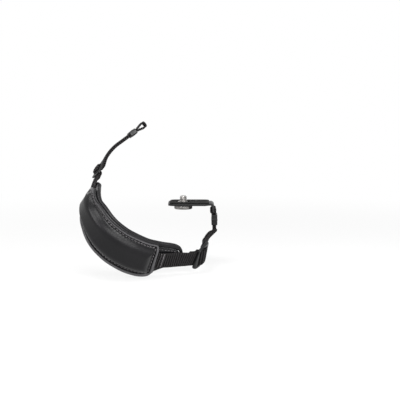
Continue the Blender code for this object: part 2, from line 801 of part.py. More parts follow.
def turn_outwards(mesh):
    """Turn every face of a closed mesh outwards."""
    build = bmesh.new()
    build.from_mesh(mesh)
    bmesh.ops.recalc_face_normals(build, faces=build.faces)
    build.to_mesh(mesh)
    build.free()


def build_buckle(name, slide, centre, collection):
    """Make a slide buckle: a rounded frame with two slots and a thinner centre bar."""
    slot_v = slide.web_width / 2 + BUCKLE_SIDE_GAP
    slot_centre = (slide.centre_bar + slide.slot) / 2
    edge = rounded_rectangle(slide.half_length, slot_v + slide.wall, slide.corner)
    hole = rounded_rectangle(slide.slot / 2, slot_v, slide.corner / 3, steps=1)
    holes = [[(x + side * slot_centre, y) for x, y in hole] for side in (-1, 1)]
    mesh = flat_part([edge] + holes, slide.thickness / 2)
    for vert in mesh.vertices:
        x, y, z = vert.co
        if abs(x) < slide.centre_bar and abs(y) <= slot_v and z > 0:
            vert.co.z = z - (slide.thickness - slide.centre_thickness)
    bend_onto_strap(mesh, (0, 1, 2), centre, slide.bar_h)
    return add_object(name, mesh, PLASTIC, collection)


def build_keeper(name, centre, length, web_width, pitch, web_thickness, collection):
    """Make a flat loop round two layers of webbing."""
    half_h = pitch / 2 + web_thickness / 2 + CLEARANCE
    half_v = web_width / 2 + CLEARANCE
    edge = rounded_rectangle(half_h + KEEPER_WALL, half_v + KEEPER_SIDE_WALL, KEEPER_WALL)
    hole = rounded_rectangle(half_h, half_v, KEEPER_HOLE_CORNER, steps=1)
    mesh = flat_part([edge, hole], length / 2)
    bend_onto_strap(mesh, (2, 1, 0), centre, -pitch / 2)
    return add_object(name, mesh, PLASTIC, collection)


def add_cutter(name, mesh, cutters):
    """Link a mesh as a cutter: not rendered and drawn as wire."""
    cutter = bpy.data.objects.new(name, mesh)
    cutter.hide_render = True
    cutter.display_type = "WIRE"
    cutters.objects.link(cutter)
    return cutter


def cut(target, cutter, operation="DIFFERENCE"):
    """Add an exact Boolean to target."""
    modifier = target.modifiers.new(cutter.name, "BOOLEAN")
    modifier.operation = operation
    modifier.object = cutter


def box_mesh(name, low, high):
    """Return a box mesh between two corners."""
    build = bmesh.new()
    bmesh.ops.create_cube(build, size=1.0)
    low, high = np.array(low), np.array(high)
    for vert in build.verts:
        vert.co = (low + high) / 2 + np.array(vert.co) * (high - low)
    mesh = bpy.data.meshes.new(name)
    build.to_mesh(mesh)
    build.free()
    return mesh


def disc_mesh(name, radius, low, high, sides, centre_x):
    """Return an upright cylinder mesh with closed ends."""
    build = bmesh.new()
    bmesh.ops.create_cone(
        build, cap_ends=True, segments=sides, radius1=radius, radius2=radius, depth=high - low
    )
    bmesh.ops.translate(build, verts=build.verts, vec=(centre_x, 0.0, (low + high) / 2))
    mesh = bpy.data.meshes.new(name)
    build.to_mesh(mesh)
    build.free()
    return mesh


def build_plate(collection, cutters):
    """Make the sheet metal plate with its bent tab, strap slot and screw hole."""
    tab_face = TAB_TO_ORIGIN + PLATE_THICKNESS / 2
    far_end = tab_face - PLATE_LENGTH
    bend = PLATE_BEND_RADIUS
    outer = bend + PLATE_THICKNESS
    profile = [(far_end, PLATE_TOP)]
    for k in range(BEND_STEPS + 1):
        angle = math.pi / 2 * (1 - k / BEND_STEPS)
        profile.append(
            (tab_face - outer + outer * math.cos(angle), PLATE_TOP - outer + outer * math.sin(angle))
        )
    profile.append((tab_face, TAB_FOOT))
    profile.append((tab_face - PLATE_THICKNESS, TAB_FOOT))
    for k in range(BEND_STEPS + 1):
        angle = math.pi / 2 * k / BEND_STEPS
        profile.append(
            (tab_face - outer + bend * math.cos(angle), PLATE_TOP - outer + bend * math.sin(angle))
        )
    profile.append((far_end, PLATE_BOTTOM))
    mesh = flat_part([profile], PLATE_WIDTH / 2)
    for vert in mesh.vertices:
        x, z, y = vert.co
        vert.co = (x, y, z)
    turn_outwards(mesh)
    plate = add_object("base_plate", mesh, PLATE_METAL, collection)
    plan = [(x + (far_end + tab_face) / 2, y) for x, y in plate_plan(far_end, tab_face)]
    plan_mesh = flat_part([plan], 2 * (PLATE_TOP - TAB_FOOT))
    cut(plate, add_cutter("plate_plan", plan_mesh, cutters), "INTERSECT")
    slot = box_mesh(
        "strap_slot",
        (TAB_TO_ORIGIN - PLATE_THICKNESS, -SLOT_LENGTH / 2, SLOT_FLOOR),
        (TAB_TO_ORIGIN + PLATE_THICKNESS, SLOT_LENGTH / 2, SLOT_TOP),
    )
    cut(plate, add_cutter("strap_slot", slot, cutters))
    low, high = PLATE_BOTTOM - PLATE_THICKNESS, PLATE_TOP + PLATE_THICKNESS
    hole = disc_mesh("screw_hole", SCREW_HOLE_RADIUS, low, high, HOLE_SIDES, -SCREW_TO_ORIGIN)
    cut(plate, add_cutter("screw_hole", hole, cutters))
    facing_length = PLATE_LENGTH - outer - 2 * FACING_BORDER
    facing_edge = rounded_rectangle(
        facing_length / 2, PLATE_WIDTH / 2 - FACING_BORDER, PLATE_CORNER - FACING_BORDER, 5
    )
    facing_centre = far_end + FACING_BORDER + facing_length / 2
    screw_x = -SCREW_TO_ORIGIN - facing_centre
    turns = np.linspace(0, 2 * math.pi, HOLE_SIDES, endpoint=False)
    facing_hole = [
        (screw_x + FACING_HOLE_RADIUS * math.cos(a), FACING_HOLE_RADIUS * math.sin(a)) for a in turns
    ]
    facing = flat_part([facing_edge, facing_hole], (FACING_THICKNESS - CLEARANCE) / 2)
    for vert in facing.vertices:
        vert.co.x += facing_centre
        vert.co.z += FACING_TOP - (FACING_THICKNESS - CLEARANCE) / 2
    add_object("plate_pad", facing, RUBBER, collection)


def plate_plan(far_end, tab_face):
    """Return the plate's plan outline round its own centre: full width, narrowed at the tab."""
    half_x, half_y = (tab_face - far_end) / 2, PLATE_WIDTH / 2
    round_end = rounded_rectangle(half_x, half_y, PLATE_CORNER, 6)
    left = [(x, y) for x, y in round_end if x < 0]
    neck = half_x - NECK_TO_TAB
    half_tab = TAB_WIDTH / 2
    ease = half_y - half_tab
    past_tab = half_x + PLATE_THICKNESS / 2
    right = [
        (neck - ease, -half_y),
        (neck, -half_tab),
        (past_tab, -half_tab),
        (past_tab, half_tab),
        (neck, half_tab),
        (neck - ease, half_y),
    ]
    return left + right


def build_screw(collection, cutters):
    """Make the captive screw: shank with a clip groove, and a fluted head with a coin slot."""
    groove_low = PLATE_TOP + CLEARANCE / 2
    groove_high = groove_low + CLIP_THICKNESS + CLEARANCE
    head_top = PLATE_BOTTOM - CLEARANCE
    head_low = head_top - HEAD_THICKNESS
    tip = FACING_TOP + SCREW_REACH
    profile = [
        (0.0, head_low),
        (HEAD_RADIUS, head_low),
        (HEAD_RADIUS, head_top),
        (SCREW_RADIUS, head_top),
        (SCREW_RADIUS, groove_low),
        (GROOVE_RADIUS, groove_low),
        (GROOVE_RADIUS, groove_high),
        (SCREW_RADIUS, groove_high),
        (SCREW_RADIUS, tip - TIP_CHAMFER),
        (SCREW_RADIUS - TIP_CHAMFER, tip),
        (0.0, tip),
    ]
    sides = 2 * HEAD_FLUTES
    build = bmesh.new()
    rings = []
    for radius, z in profile:
        if radius == 0.0:
            rings.append([build.verts.new((-SCREW_TO_ORIGIN, 0.0, z))])
            continue
        flute = HEAD_FLUTE_DEPTH if radius == HEAD_RADIUS else 0.0
        ring = []
        for k in range(sides):
            reach = radius - flute * (k % 2)
            angle = 2 * math.pi * k / sides
            x = -SCREW_TO_ORIGIN + reach * math.cos(angle)
            ring.append(build.verts.new((x, reach * math.sin(angle), z)))
        rings.append(ring)
    for low, high in zip(rings, rings[1:]):
        if len(low) == 1 or len(high) == 1:
            point, ring = (low[0], high) if len(low) == 1 else (high[0], low)
            for i in range(sides):
                build.faces.new((point, ring[i], ring[(i + 1) % sides]))
        else:
            bridge(build, low, high)
    screw = tidy_object("tripod_screw", build, STEEL, collection)
    slot = box_mesh(
        "coin_slot",
        (-SCREW_TO_ORIGIN - 2 * HEAD_RADIUS, -COIN_SLOT_WIDTH / 2, head_low - COIN_SLOT_DEPTH),
        (-SCREW_TO_ORIGIN + 2 * HEAD_RADIUS, COIN_SLOT_WIDTH / 2, head_low + COIN_SLOT_DEPTH),
    )
    cut(screw, add_cutter("coin_slot", slot, cutters))
    return groove_low


def build_clip(groove_low, collection):
    """Make the spring clip: a flat open ring that sits in the screw's groove."""
    inner = GROOVE_RADIUS + CLEARANCE
    gap = math.asin(CLIP_OPENING / 2 / inner)
    turns = np.linspace(gap, 2 * math.pi - gap, 29)
    edge = [(CLIP_RADIUS * math.cos(a), CLIP_RADIUS * math.sin(a)) for a in turns]
    edge += [(inner * math.cos(a), inner * math.sin(a)) for a in turns[::-1]]
    mesh = flat_part([edge], CLIP_THICKNESS / 2)
    for vert in mesh.vertices:
        vert.co.x -= SCREW_TO_ORIGIN
        vert.co.z += groove_low + (CLEARANCE + CLIP_THICKNESS) / 2
    add_object("screw_clip", mesh, STEEL, collection)


def main():
    """Build every piece."""
    for old in list(bpy.data.objects):
        bpy.data.objects.remove(old)
    parts = bpy.data.collections.new("hand_grip_strap")
    cutters = bpy.data.collections.new("cutters")
    bpy.context.scene.collection.children.link(parts)
    bpy.context.scene.collection.children.link(cutters)
    build_plate(parts, cutters)
    groove_low = build_screw(parts, cutters)
    build_clip(groove_low, parts)
    build_lower_webbing(parts)
    build_keeper(
        "webbing_keeper",
        KEEPER_AT,
        KEEPER_LENGTH,
        LOWER_WEB_WIDTH,
        LEAF_PITCH,
        LOWER_WEB_THICKNESS,
        parts,
    )
    build_buckle("lower_slide_buckle", LOWER_SLIDE, BUCKLE_AT, parts)
    build_inner_pad(parts)
    build_outer_panel(parts)
    build_panel_foam(parts)
    build_upper_webbing(parts)
    build_buckle("upper_slide_buckle", UPPER_SLIDE, UPPER_BUCKLE_AT, parts)
    upper_keeper_at = ROUTE_CURVE.length - RING_EYE - UPPER_KEEPER_TO_EYE
    build_keeper(
        "upper_keeper",
        upper_keeper_at,
        UPPER_KEEPER_LENGTH,
        UPPER_WEB_WIDTH,
        UPPER_LEAF_PITCH,
        UPPER_WEB_THICKNESS,
        parts,
    )


main()
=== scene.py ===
"""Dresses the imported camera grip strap: leather pad, webbing, slides, keepers and tripod plate.

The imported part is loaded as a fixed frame. Everything soft is then built again over the same route
as the solids. A place on the strap is (s, v, h): s is the length along the route from the plate's
slot bar, v is across it towards the front edge and h is outwards. Lengths are metres.
"""

from __future__ import annotations

import logging
import math
from dataclasses import dataclass, field, replace
from enum import Enum
from typing import Any, Callable, Iterable, Sequence

import bmesh
import bpy
import numpy as np
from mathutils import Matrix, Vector

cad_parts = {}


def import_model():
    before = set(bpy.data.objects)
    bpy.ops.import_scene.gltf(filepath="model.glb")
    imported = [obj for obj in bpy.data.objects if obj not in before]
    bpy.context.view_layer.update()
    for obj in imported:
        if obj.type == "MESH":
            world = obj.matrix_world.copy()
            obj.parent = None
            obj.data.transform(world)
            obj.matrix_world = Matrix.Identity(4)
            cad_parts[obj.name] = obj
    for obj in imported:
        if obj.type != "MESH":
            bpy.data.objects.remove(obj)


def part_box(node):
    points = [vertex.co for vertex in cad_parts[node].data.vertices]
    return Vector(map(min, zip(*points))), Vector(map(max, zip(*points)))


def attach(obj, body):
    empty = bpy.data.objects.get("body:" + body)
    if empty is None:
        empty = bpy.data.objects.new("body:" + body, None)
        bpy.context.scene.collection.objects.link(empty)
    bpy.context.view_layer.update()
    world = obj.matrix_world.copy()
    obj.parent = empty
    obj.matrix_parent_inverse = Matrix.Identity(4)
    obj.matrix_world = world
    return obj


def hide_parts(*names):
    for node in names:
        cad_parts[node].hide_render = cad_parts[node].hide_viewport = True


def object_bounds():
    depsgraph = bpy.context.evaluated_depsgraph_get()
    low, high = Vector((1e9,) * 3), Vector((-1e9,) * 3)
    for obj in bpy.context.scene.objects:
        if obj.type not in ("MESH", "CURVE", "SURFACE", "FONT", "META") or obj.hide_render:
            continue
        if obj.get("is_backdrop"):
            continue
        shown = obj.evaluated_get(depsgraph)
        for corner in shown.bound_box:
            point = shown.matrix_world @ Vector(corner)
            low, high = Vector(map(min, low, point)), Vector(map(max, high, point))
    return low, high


LOG = logging.getLogger("grip_strap")
MM = 0.001
CLEARANCE = 0.00026  # Between neighbouring pieces, as in the solids
FLOOR_GAP = 0.0004

MATH, MAP, MIX = "ShaderNodeMath", "ShaderNodeMapRange", "ShaderNodeMix"
NOISE, BUMP = "ShaderNodeTexNoise", "ShaderNodeBump"
NAMED = "GeometryNodeInputNamedAttribute"
SIZE_SOCKET, MATERIAL_SOCKET = "NodeSocketFloat", "NodeSocketMaterial"

Array = np.ndarray
Piece = bpy.types.Object
Tree = bpy.types.NodeTree
Triple = tuple[float, float, float]
Height = Callable[[Array, Array, float], Array]
Profile = list[tuple[float, Height]]


class Body(Enum):
    """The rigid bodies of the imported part."""

    STRAP = "strap"
    SCREW = "screw"
    KEEPER = "keeper"
    SMALL_KEEPER = "small_keeper"


# ---- colour and node helpers ----


def hex_colour(code: str) -> tuple[float, float, float, float]:
    """Turn an sRGB hex colour into a linear one.

    Args:
        code: Six hex digits.

    Returns:
        Linear red, green and blue, and an alpha of one.
    """
    values = [int(code[k : k + 2], 16) / 255 for k in (0, 2, 4)]
    linear = [v / 12.92 if v <= 0.04045 else ((v + 0.055) / 1.055) ** 2.4 for v in values]
    return (linear[0], linear[1], linear[2], 1.0)


def per_metre(size_mm: float) -> float:
    """Return the texture scale, per metre, of a pattern that repeats every size_mm."""
    return 1000.0 / size_mm


def feed(tree: Tree, socket: bpy.types.NodeSocket, value: Any) -> None:
    """Give a socket its value or its link.

    Args:
        tree: The socket's tree.
        socket: An input socket.
        value: A plain value, an output socket, or a node whose first output is meant.
    """
    if isinstance(value, bpy.types.Node):
        value = value.outputs[0]
    if isinstance(value, bpy.types.NodeSocket):
        tree.links.new(value, socket)
    else:
        socket.default_value = value


def add_node(
    tree: Tree, kind: str, inputs: dict[Any, Any] | None = None, **settings: Any
) -> bpy.types.Node:
    """Add a node with its settings, values and links.

    Args:
        tree: The tree that gets the node.
        kind: The node's type name.
        inputs: Input name or number to what feeds it.
        **settings: Properties of the node.

    Returns:
        The new node.
    """
    node = tree.nodes.new(kind)
    for name, value in settings.items():
        setattr(node, name, value)
    for name, value in (inputs or {}).items():
        feed(tree, node.inputs[name], value)
    return node


# ---- paths ----


def smooth(t: Any) -> Any:
    """Return 0 to 1 with flat ends as t goes from 0 to 1."""
    t = np.clip(t, 0.0, 1.0)
    return t * t * (3 - 2 * t)


def bell(distance: Any, width: float) -> Any:
    """Return a smooth bump of height one over a distance of zero."""
    return np.exp(-((distance / width) ** 2))


def unit(vectors: Array) -> Array:
    """Return the vectors at length one."""
    return vectors / np.linalg.norm(vectors, axis=-1, keepdims=True)


def reach_along(points: Array) -> Array:
    """Return each point's length along the path through all of them."""
    return np.concatenate([[0.0], np.cumsum(np.linalg.norm(np.diff(points, axis=0), axis=1))])


def read_path(at: Any, reach: Array, points: Array) -> Array:
    """Return the points at the lengths along a path whose own points lie at reach."""
    return np.stack([np.interp(at, reach, column) for column in points.T], axis=-1)


def closed(ring: Array) -> Array:
    """Return a ring's points with the first one again at the end."""
    return np.vstack([ring, ring[:1]])


def hermite(knots: Any, values: Any, x: Any) -> Array:
    """Read a smooth curve through values.

    Args:
        knots: Where the values stand, rising.
        values: One number or one point for each knot.
        x: Where to read the curve.

    Returns:
        The curve's value at every x.
    """
    knots, values, x = np.asarray(knots, float), np.asarray(values, float), np.asarray(x, float)
    step = np.diff(knots)
    slope = np.diff(values, axis=0) / step.reshape((-1,) + (1,) * (values.ndim - 1))
    tangent = np.empty_like(values)
    tangent[0], tangent[-1] = slope[0], slope[-1]
    for i in range(1, len(knots) - 1):
        share = step[i] / (step[i] + step[i - 1])
        tangent[i] = slope[i - 1] * share + slope[i] * (1 - share)
    i = np.clip(np.searchsorted(knots, x) - 1, 0, len(step) - 1)
    shape = x.shape + (1,) * (values.ndim - 1)
    h = step[i].reshape(shape)
    u = ((x - knots[i]) / step[i]).reshape(shape)
    return (
        (2 * u**3 - 3 * u**2 + 1) * values[i]
        + (u**3 - 2 * u**2 + u) * h * tangent[i]
        + (-2 * u**3 + 3 * u**2) * values[i + 1]
        + (u**3 - u**2) * h * tangent[i + 1]
    )


def offset_path(points: Any, distance: float) -> Array:
    """Move an open (s, h) path sideways, with mitred corners.

    Args:
        points: The path.
        distance: How far to move it, to its left.

    Returns:
        The moved path.
    """
    points = np.asarray(points, float)
    run = unit(np.diff(points, axis=0))
    side = np.column_stack([-run[:, 1], run[:, 0]])
    moved = [points[0] + side[0] * distance]
    for i in range(1, len(points) - 1):
        bisector = unit(side[i - 1] + side[i])
        moved.append(points[i] + bisector * distance / (bisector @ side[i]))
    moved.append(points[-1] + side[-1] * distance)
    return np.array(moved)


def round_path(points: Any, radius: float, steps: int = 12) -> Array:
    """Round the corners of an open (s, h) path.

    Args:
        points: The path.
        radius: The corners' radius, less where a corner has no room for it.
        steps: Steps in one corner.

    Returns:
        The rounded path.
    """
    points = np.asarray(points, float)
    rounded = [points[0]]
    for before, corner, after in zip(points, points[1:], points[2:]):
        to_a, to_b = unit(before - corner), unit(after - corner)
        half = math.acos(float(np.clip(to_a @ to_b, -1, 1))) / 2
        if half > math.radians(89):
            rounded.append(corner)
            continue
        room = min(np.linalg.norm(before - corner), np.linalg.norm(after - corner))
        cut = min(radius / math.tan(half), 0.48 * room)
        for t in np.linspace(0, 1, steps + 1):
            rounded.append(corner + to_a * cut * (1 - t) ** 2 + to_b * cut * t**2)
    rounded.append(points[-1])
    return np.array(rounded)


def rounded_rectangle(half_x: float, half_y: float, radius: float, steps: int = 6) -> Array:
    """Draw a rectangle with rounded corners.

    Args:
        half_x: Half its size in x.
        half_y: Half its size in y.
        radius: The corners' radius.
        steps: Steps in one corner.

    Returns:
        Its points, counter-clockwise.
    """
    points = []
    for quarter, (sx, sy) in enumerate(((1, 1), (-1, 1), (-1, -1), (1, -1))):
        for k in range(steps + 1):
            angle = math.pi / 2 * (quarter + k / steps)
            x = sx * (half_x - radius) + radius * math.cos(angle)
            points.append((x, sy * (half_y - radius) + radius * math.sin(angle)))
    return np.array(points)


def fill_closed(points: Array, longest: float) -> Array:
    """Cut a closed path's long stretches into shorter steps.

    Args:
        points: The path.
        longest: The longest step that may stay.

    Returns:
        The path with the added points.
    """
    filled = []
    for a, b in zip(points, np.roll(points, -1, axis=0)):
        parts = max(1, math.ceil(float(np.linalg.norm(b - a)) / longest))
        filled += [a + (b - a) * k / parts for k in range(parts)]
    return np.array(filled)


# ---- the strap's route and outlines, as in the solids ----


# Route of the webbing's middle from the slot bar: (point in millimetres, direction across)
ROUTE = (
    ((0.0, 0.0, 0.0), (0.00, -1.00, 0.00)),
    ((0.0, 0.0, -8.0), (0.00, -1.00, 0.00)),
    ((0.0, 0.0, -17.5), (0.00, -1.00, 0.00)),
    ((0.0, 0.0, -18.5), (0.00, -1.00, 0.00)),
    ((-5.8, -7.8, -25.2), (0.04, -0.92, 0.38)),
    ((-9.2, -23.2, -30.0), (0.06, -0.79, 0.61)),
    ((-9.9, -36.8, -31.6), (0.02, -0.66, 0.75)),
    ((-13.5, -43.0, -34.1), (0.02, -0.66, 0.75)),
    ((-17.7, -48.8, -36.6), (0.02, -0.66, 0.75)),
    ((-23.5, -53.2, -36.6), (0.06, -0.60, 0.80)),
    ((-31.8, -57.9, -36.1), (0.10, -0.51, 0.85)),
    ((-41.5, -63.0, -35.8), (0.15, -0.47, 0.87)),
    ((-51.0, -67.8, -34.6), (0.19, -0.44, 0.88)),
    ((-61.5, -73.8, -31.9), (0.28, -0.45, 0.85)),
    ((-72.0, -79.3, -26.8), (0.36, -0.46, 0.81)),
    ((-83.0, -83.5, -19.6), (0.43, -0.49, 0.76)),
    ((-91.6, -85.0, -11.1), (0.47, -0.53, 0.71)),
    ((-98.0, -84.0, -0.6), (0.46, -0.59, 0.66)),
    ((-101.6, -81.0, 8.9), (0.43, -0.64, 0.63)),
    ((-101.8, -76.5, 16.9), (0.39, -0.70, 0.60)),
    ((-101.0, -70.0, 23.6), (0.46, -0.71, 0.53)),
    ((-99.0, -61.5, 31.4), (0.50, -0.73, 0.45)),
    ((-95.2, -54.8, 39.9), (0.40, -0.81, 0.43)),
    ((-92.3, -48.2, 48.4), (0.30, -0.86, 0.42)),
    ((-84.8, -42.5, 57.9), (0.25, -0.94, 0.19)),
    ((-78.8, -40.25, 62.4), (0.25, -0.94, 0.19)),
    ((-60.8, -33.5, 75.9), (0.25, -0.94, 0.19)),
)
ROUTE_START = (0.01725 + 0.00176, 0.0, -0.0063)

# Pad half widths across the route: (place, front, rear), in millimetres
PAD_EDGE = (
    (87.5, 5.0, 5.5),
    (91.0, 9.6, 6.8),
    (96.0, 13.4, 7.8),
    (102.0, 15.3, 9.0),
    (108.0, 16.0, 11.6),
    (114.0, 16.6, 15.2),
    (120.0, 17.2, 17.6),
    (132.0, 18.2, 19.0),
    (147.0, 19.0, 19.0),
    (160.0, 19.4, 18.6),
    (174.0, 19.2, 18.6),
    (186.0, 17.8, 19.0),
    (195.0, 14.8, 20.4),
    (202.0, 11.0, 18.4),
    (209.0, 7.4, 11.8),
    (217.5, 5.4, 5.6),
)


class Route:
    """The middle of the webbing as a smooth curve, with its across and outward directions."""

    SAMPLES = 1600

    def __init__(self) -> None:
        """Sample the curve and its directions finely."""
        points = np.array([p for p, _ in ROUTE], float) * MM + np.array(ROUTE_START)
        knots = reach_along(points)
        fine = np.linspace(0.0, knots[-1], self.SAMPLES)
        self.points = hermite(knots, points, fine)
        self.across = hermite(knots, unit(np.array([b for _, b in ROUTE], float)), fine)
        self.lengths = reach_along(self.points)
        self.length = float(self.lengths[-1])
        self.run = unit(np.gradient(self.points, self.lengths, axis=0))

    def axes(self, s: Array) -> tuple[Array, Array, Array]:
        """Find the strap's directions.

        Args:
            s: Lengths along the route.

        Returns:
            The unit directions along, across and out of the strap at each of them.
        """
        run = unit(read_path(s, self.lengths, self.run))
        across = read_path(s, self.lengths, self.across)
        across = unit(across - run * np.sum(across * run, axis=-1, keepdims=True))
        return run, across, np.cross(across, run)

    def place(self, s: Any, v: Any, h: Any) -> Array:
        """Turn strap places into points of the part's frame.

        Args:
            s: Lengths along the route; past an end the route runs straight on.
            v: Distances across it.
            h: Distances out from its middle.

        Returns:
            One point for each place.
        """
        s, v, h = np.broadcast_arrays(np.asarray(s, float), v, h)
        run, across, outward = self.axes(s)
        beyond = s - np.clip(s, 0.0, self.length)
        middle = read_path(s, self.lengths, self.points) + run * beyond[..., None]
        return middle + across * v[..., None] + outward * h[..., None]


STRAP_ROUTE = Route()


@dataclass
class Outline:
    """A long panel's edge on the strap, with rounded corners and a start that may slant."""

    start: float
    end: float
    corner: float
    trim: float = 0.0
    slant: float = 0.0
    end_corner: float = 0.0
    long_steps: int = 120
    end_steps: int = 36
    corner_steps: int = 8

    def width(self, s: Any, side: int) -> Array:
        """Read the half width.

        Args:
            s: Where along the strap.
            side: 1 for the front, -1 for the rear.

        Returns:
            The distance from the route's middle to the edge.
        """
        edge = np.array(PAD_EDGE) * MM
        s = np.clip(s, edge[0, 0], edge[-1, 0])
        return hermite(edge[:, 0], edge[:, 1 if side > 0 else 2], s) - self.trim

    def part_corner(
        self, s_end: float, way: float, radius: float, inset: float, side: int, turn: Sequence[float]
    ) -> Array:
        """Draw half of a corner.

        Args:
            s_end: Where the outline ends on this side.
            way: 1 where the end is at the greater s, -1 at the smaller.
            radius: The corner's radius.
            inset: How far the ring lies inside the edge.
            side: 1 for the front, -1 for the rear.
            turn: First and last angle in degrees: 90 is on the long side, 0 on the end.

        Returns:
            Its (s, v) points.
        """
        angles = np.radians(np.linspace(*turn, self.corner_steps + 1))
        s = s_end - way * radius * (1 - np.cos(angles))
        v = side * (self.width(s, side) - inset - radius * (1 - np.sin(angles)))
        return np.column_stack([s, v])

    def ring(self, inset: float) -> Array:
        """Draw the whole edge.

        Args:
            inset: How far to move it in.

        Returns:
            The (s, v) points round it.
        """
        first, last = self.start + inset, self.end - inset
        corners = {first: self.corner, last: self.end_corner or self.corner}
        radii = {s: max(corner - inset, corner * 0.25) for s, corner in corners.items()}
        parts = []
        for side, begin, finish in ((1, first, last), (-1, last, first)):
            way = math.copysign(1.0, finish - begin)
            before, radius = radii[begin], radii[finish]
            parts.append(self.part_corner(begin, -way, before, inset, side, (45, 90)))
            s = np.linspace(begin + way * before, finish - way * radius, self.long_steps + 1)[1:-1]
            parts.append(np.column_stack([s, side * (self.width(s, side) - inset)]))
            parts.append(self.part_corner(finish, way, radius, inset, side, (90, 45)))
            down = self.part_corner(finish, way, radius, inset, side, (45, 0))
            up = self.part_corner(finish, way, radius, inset, -side, (0, 45))
            v = np.linspace(down[-1, 1], up[0, 1], self.end_steps + 1)[1:-1]
            parts += [down[1:], np.column_stack([np.full(len(v), finish), v]), up[:-1]]
        points = np.vstack(parts)
        points[:, 0] += self.slant * points[:, 1] * self.slant_share(points[:, 0])
        return points

    def slant_share(self, s: Array) -> Array:
        """Return how much of the slant applies at s: all at the start, none past the middle."""
        return 1 - smooth((s - self.start) / (self.end - self.start) * 2)

    def sides(self) -> tuple[int, int]:
        """Return the steps of a long side and of an end, corner middle to corner middle."""
        return self.long_steps + 2 * self.corner_steps, self.end_steps + 2 * self.corner_steps

    def inner_grid(self, inset: float) -> Array:
        """Fill a ring with a grid.

        Args:
            inset: How far the ring lies inside the edge.

        Returns:
            The grid's (s, v) points, the ring's own included.
        """
        ring = self.ring(inset)
        n_long, n_end = self.sides()
        top = ring[: n_long + 1]
        right = ring[n_long : n_long + n_end + 1]
        bottom = ring[n_long + n_end : 2 * n_long + n_end + 1][::-1]
        left = closed(ring)[2 * n_long + n_end :][::-1]
        a = np.linspace(0, 1, n_long + 1)[:, None, None]
        b = np.linspace(0, 1, n_end + 1)[None, :, None]
        blend = (1 - b) * top[:, None] + b * bottom[:, None] + (1 - a) * left[None] + a * right[None]
        ends = (1 - a) * (1 - b) * top[0] + a * (1 - b) * top[-1]
        return blend - ends - (1 - a) * b * bottom[0] - a * b * bottom[-1]

    def edge_distance(self, s: Array, v: Array) -> Array:
        """Measure places from the edge.

        Args:
            s: Lengths along the strap.
            v: Distances across it.

        Returns:
            How far each place lies inside the edge.
        """
        from_start = s - self.start - self.slant * v * self.slant_share(s)
        sideways = np.where(v > 0, self.width(s, 1) - v, self.width(s, -1) + v)
        return np.minimum(np.minimum(from_start, self.end - s), sideways)


# ---- mesh building ----


@dataclass
class Shell:
    """Points and faces of one piece, with values kept for each point."""

    points: list[Array] = field(default_factory=list)
    faces: list[tuple[int, ...]] = field(default_factory=list)
    values: dict[str, list[Array]] = field(default_factory=dict)
    count: int = 0

    def add(self, points: Array, **values: Any) -> Array:
        """Add points.

        Args:
            points: Points in an array of any layout.
            **values: Attribute name to its value at each point.

        Returns:
            The points' numbers, in the array's own layout.
        """
        shape = points.shape[:-1]
        flat = points.reshape(-1, 3)
        self.points.append(flat)
        for name, data in values.items():
            kept = np.broadcast_to(data, shape).reshape(-1).astype(float)
            self.values.setdefault(name, []).append(kept)
        self.count += len(flat)
        return np.arange(self.count - len(flat), self.count).reshape(shape)

    def bridge(self, rows: Iterable[Sequence[int]], loops: bool = True, caps: bool = False) -> None:
        """Join rows of points with quads, each row to the next.

        Args:
            rows: The rows of point numbers.
            loops: Each row closes on itself.
            caps: The first and last row each get a face.
        """
        rows = [[int(number) for number in row] for row in rows]
        for a, b in zip(rows, rows[1:]):
            for i in range(len(a) if loops else len(a) - 1):
                j = (i + 1) % len(a)
                self.faces.append((a[i], a[j], b[j], b[i]))
        if caps:
            self.faces += [tuple(rows[0]), tuple(rows[-1])]

    def sweep(self, path: Array, section: Array, to_world: Callable[..., Array]) -> None:
        """Sweep a closed section round a closed flat path.

        Args:
            path: (x, y) points, counter-clockwise.
            section: (out, up) points round the path's line: out points away from its inside.
            to_world: Turns arrays of x, y and z into points of the part's frame.
        """
        after = unit(np.roll(path, -1, axis=0) - path)
        before = np.roll(after, 1, axis=0)
        side_a = np.column_stack([after[:, 1], -after[:, 0]])
        mean = unit(side_a + np.column_stack([before[:, 1], -before[:, 0]]))
        normals = mean / np.sum(mean * side_a, axis=1, keepdims=True)
        xy = path[:, None, :] + normals[:, None, :] * section[None, :, :1]
        numbers = self.add(to_world(xy[..., 0], xy[..., 1], section[None, :, 1]))
        self.bridge(closed(numbers))

    def finish(self, name: str, merge: float = 2e-6) -> Piece:
        """Make the object: doubles merged, faces turned outwards, shaded smooth.

        Args:
            name: The new object's name.
            merge: Points closer than this become one.

        Returns:
            The new object, linked to the scene.
        """
        mesh = bpy.data.meshes.new(name)
        mesh.from_pydata(np.vstack(self.points).tolist(), [], self.faces)
        for key, kept in self.values.items():
            keep_values(mesh, key, np.concatenate(kept))
        with_bmesh(mesh, lambda build: bmesh.ops.recalc_face_normals(build, faces=build.faces), merge)
        return link_piece(name, mesh)


def keep_values(mesh: bpy.types.Mesh, name: str, data: Array) -> None:
    """Store numbers or vectors on a mesh's points.

    Args:
        mesh: The mesh.
        name: The attribute's name.
        data: One number or one vector for each point.
    """
    kind, key = ("FLOAT", "value") if data.ndim == 1 else ("FLOAT_VECTOR", "vector")
    attribute = mesh.attributes.new(name, kind, "POINT")
    attribute.data.foreach_set(key, data.astype(np.float32).ravel())


def with_bmesh(mesh: bpy.types.Mesh, work: Callable[[Any], Any], merge: float) -> None:
    """Merge a mesh's doubles and work on the result.

    Args:
        mesh: The mesh, changed in place.
        work: Takes the editable mesh.
        merge: Points closer than this become one.
    """
    build = bmesh.new()
    build.from_mesh(mesh)
    bmesh.ops.remove_doubles(build, verts=build.verts, dist=merge)
    work(build)
    build.to_mesh(mesh)
    build.free()


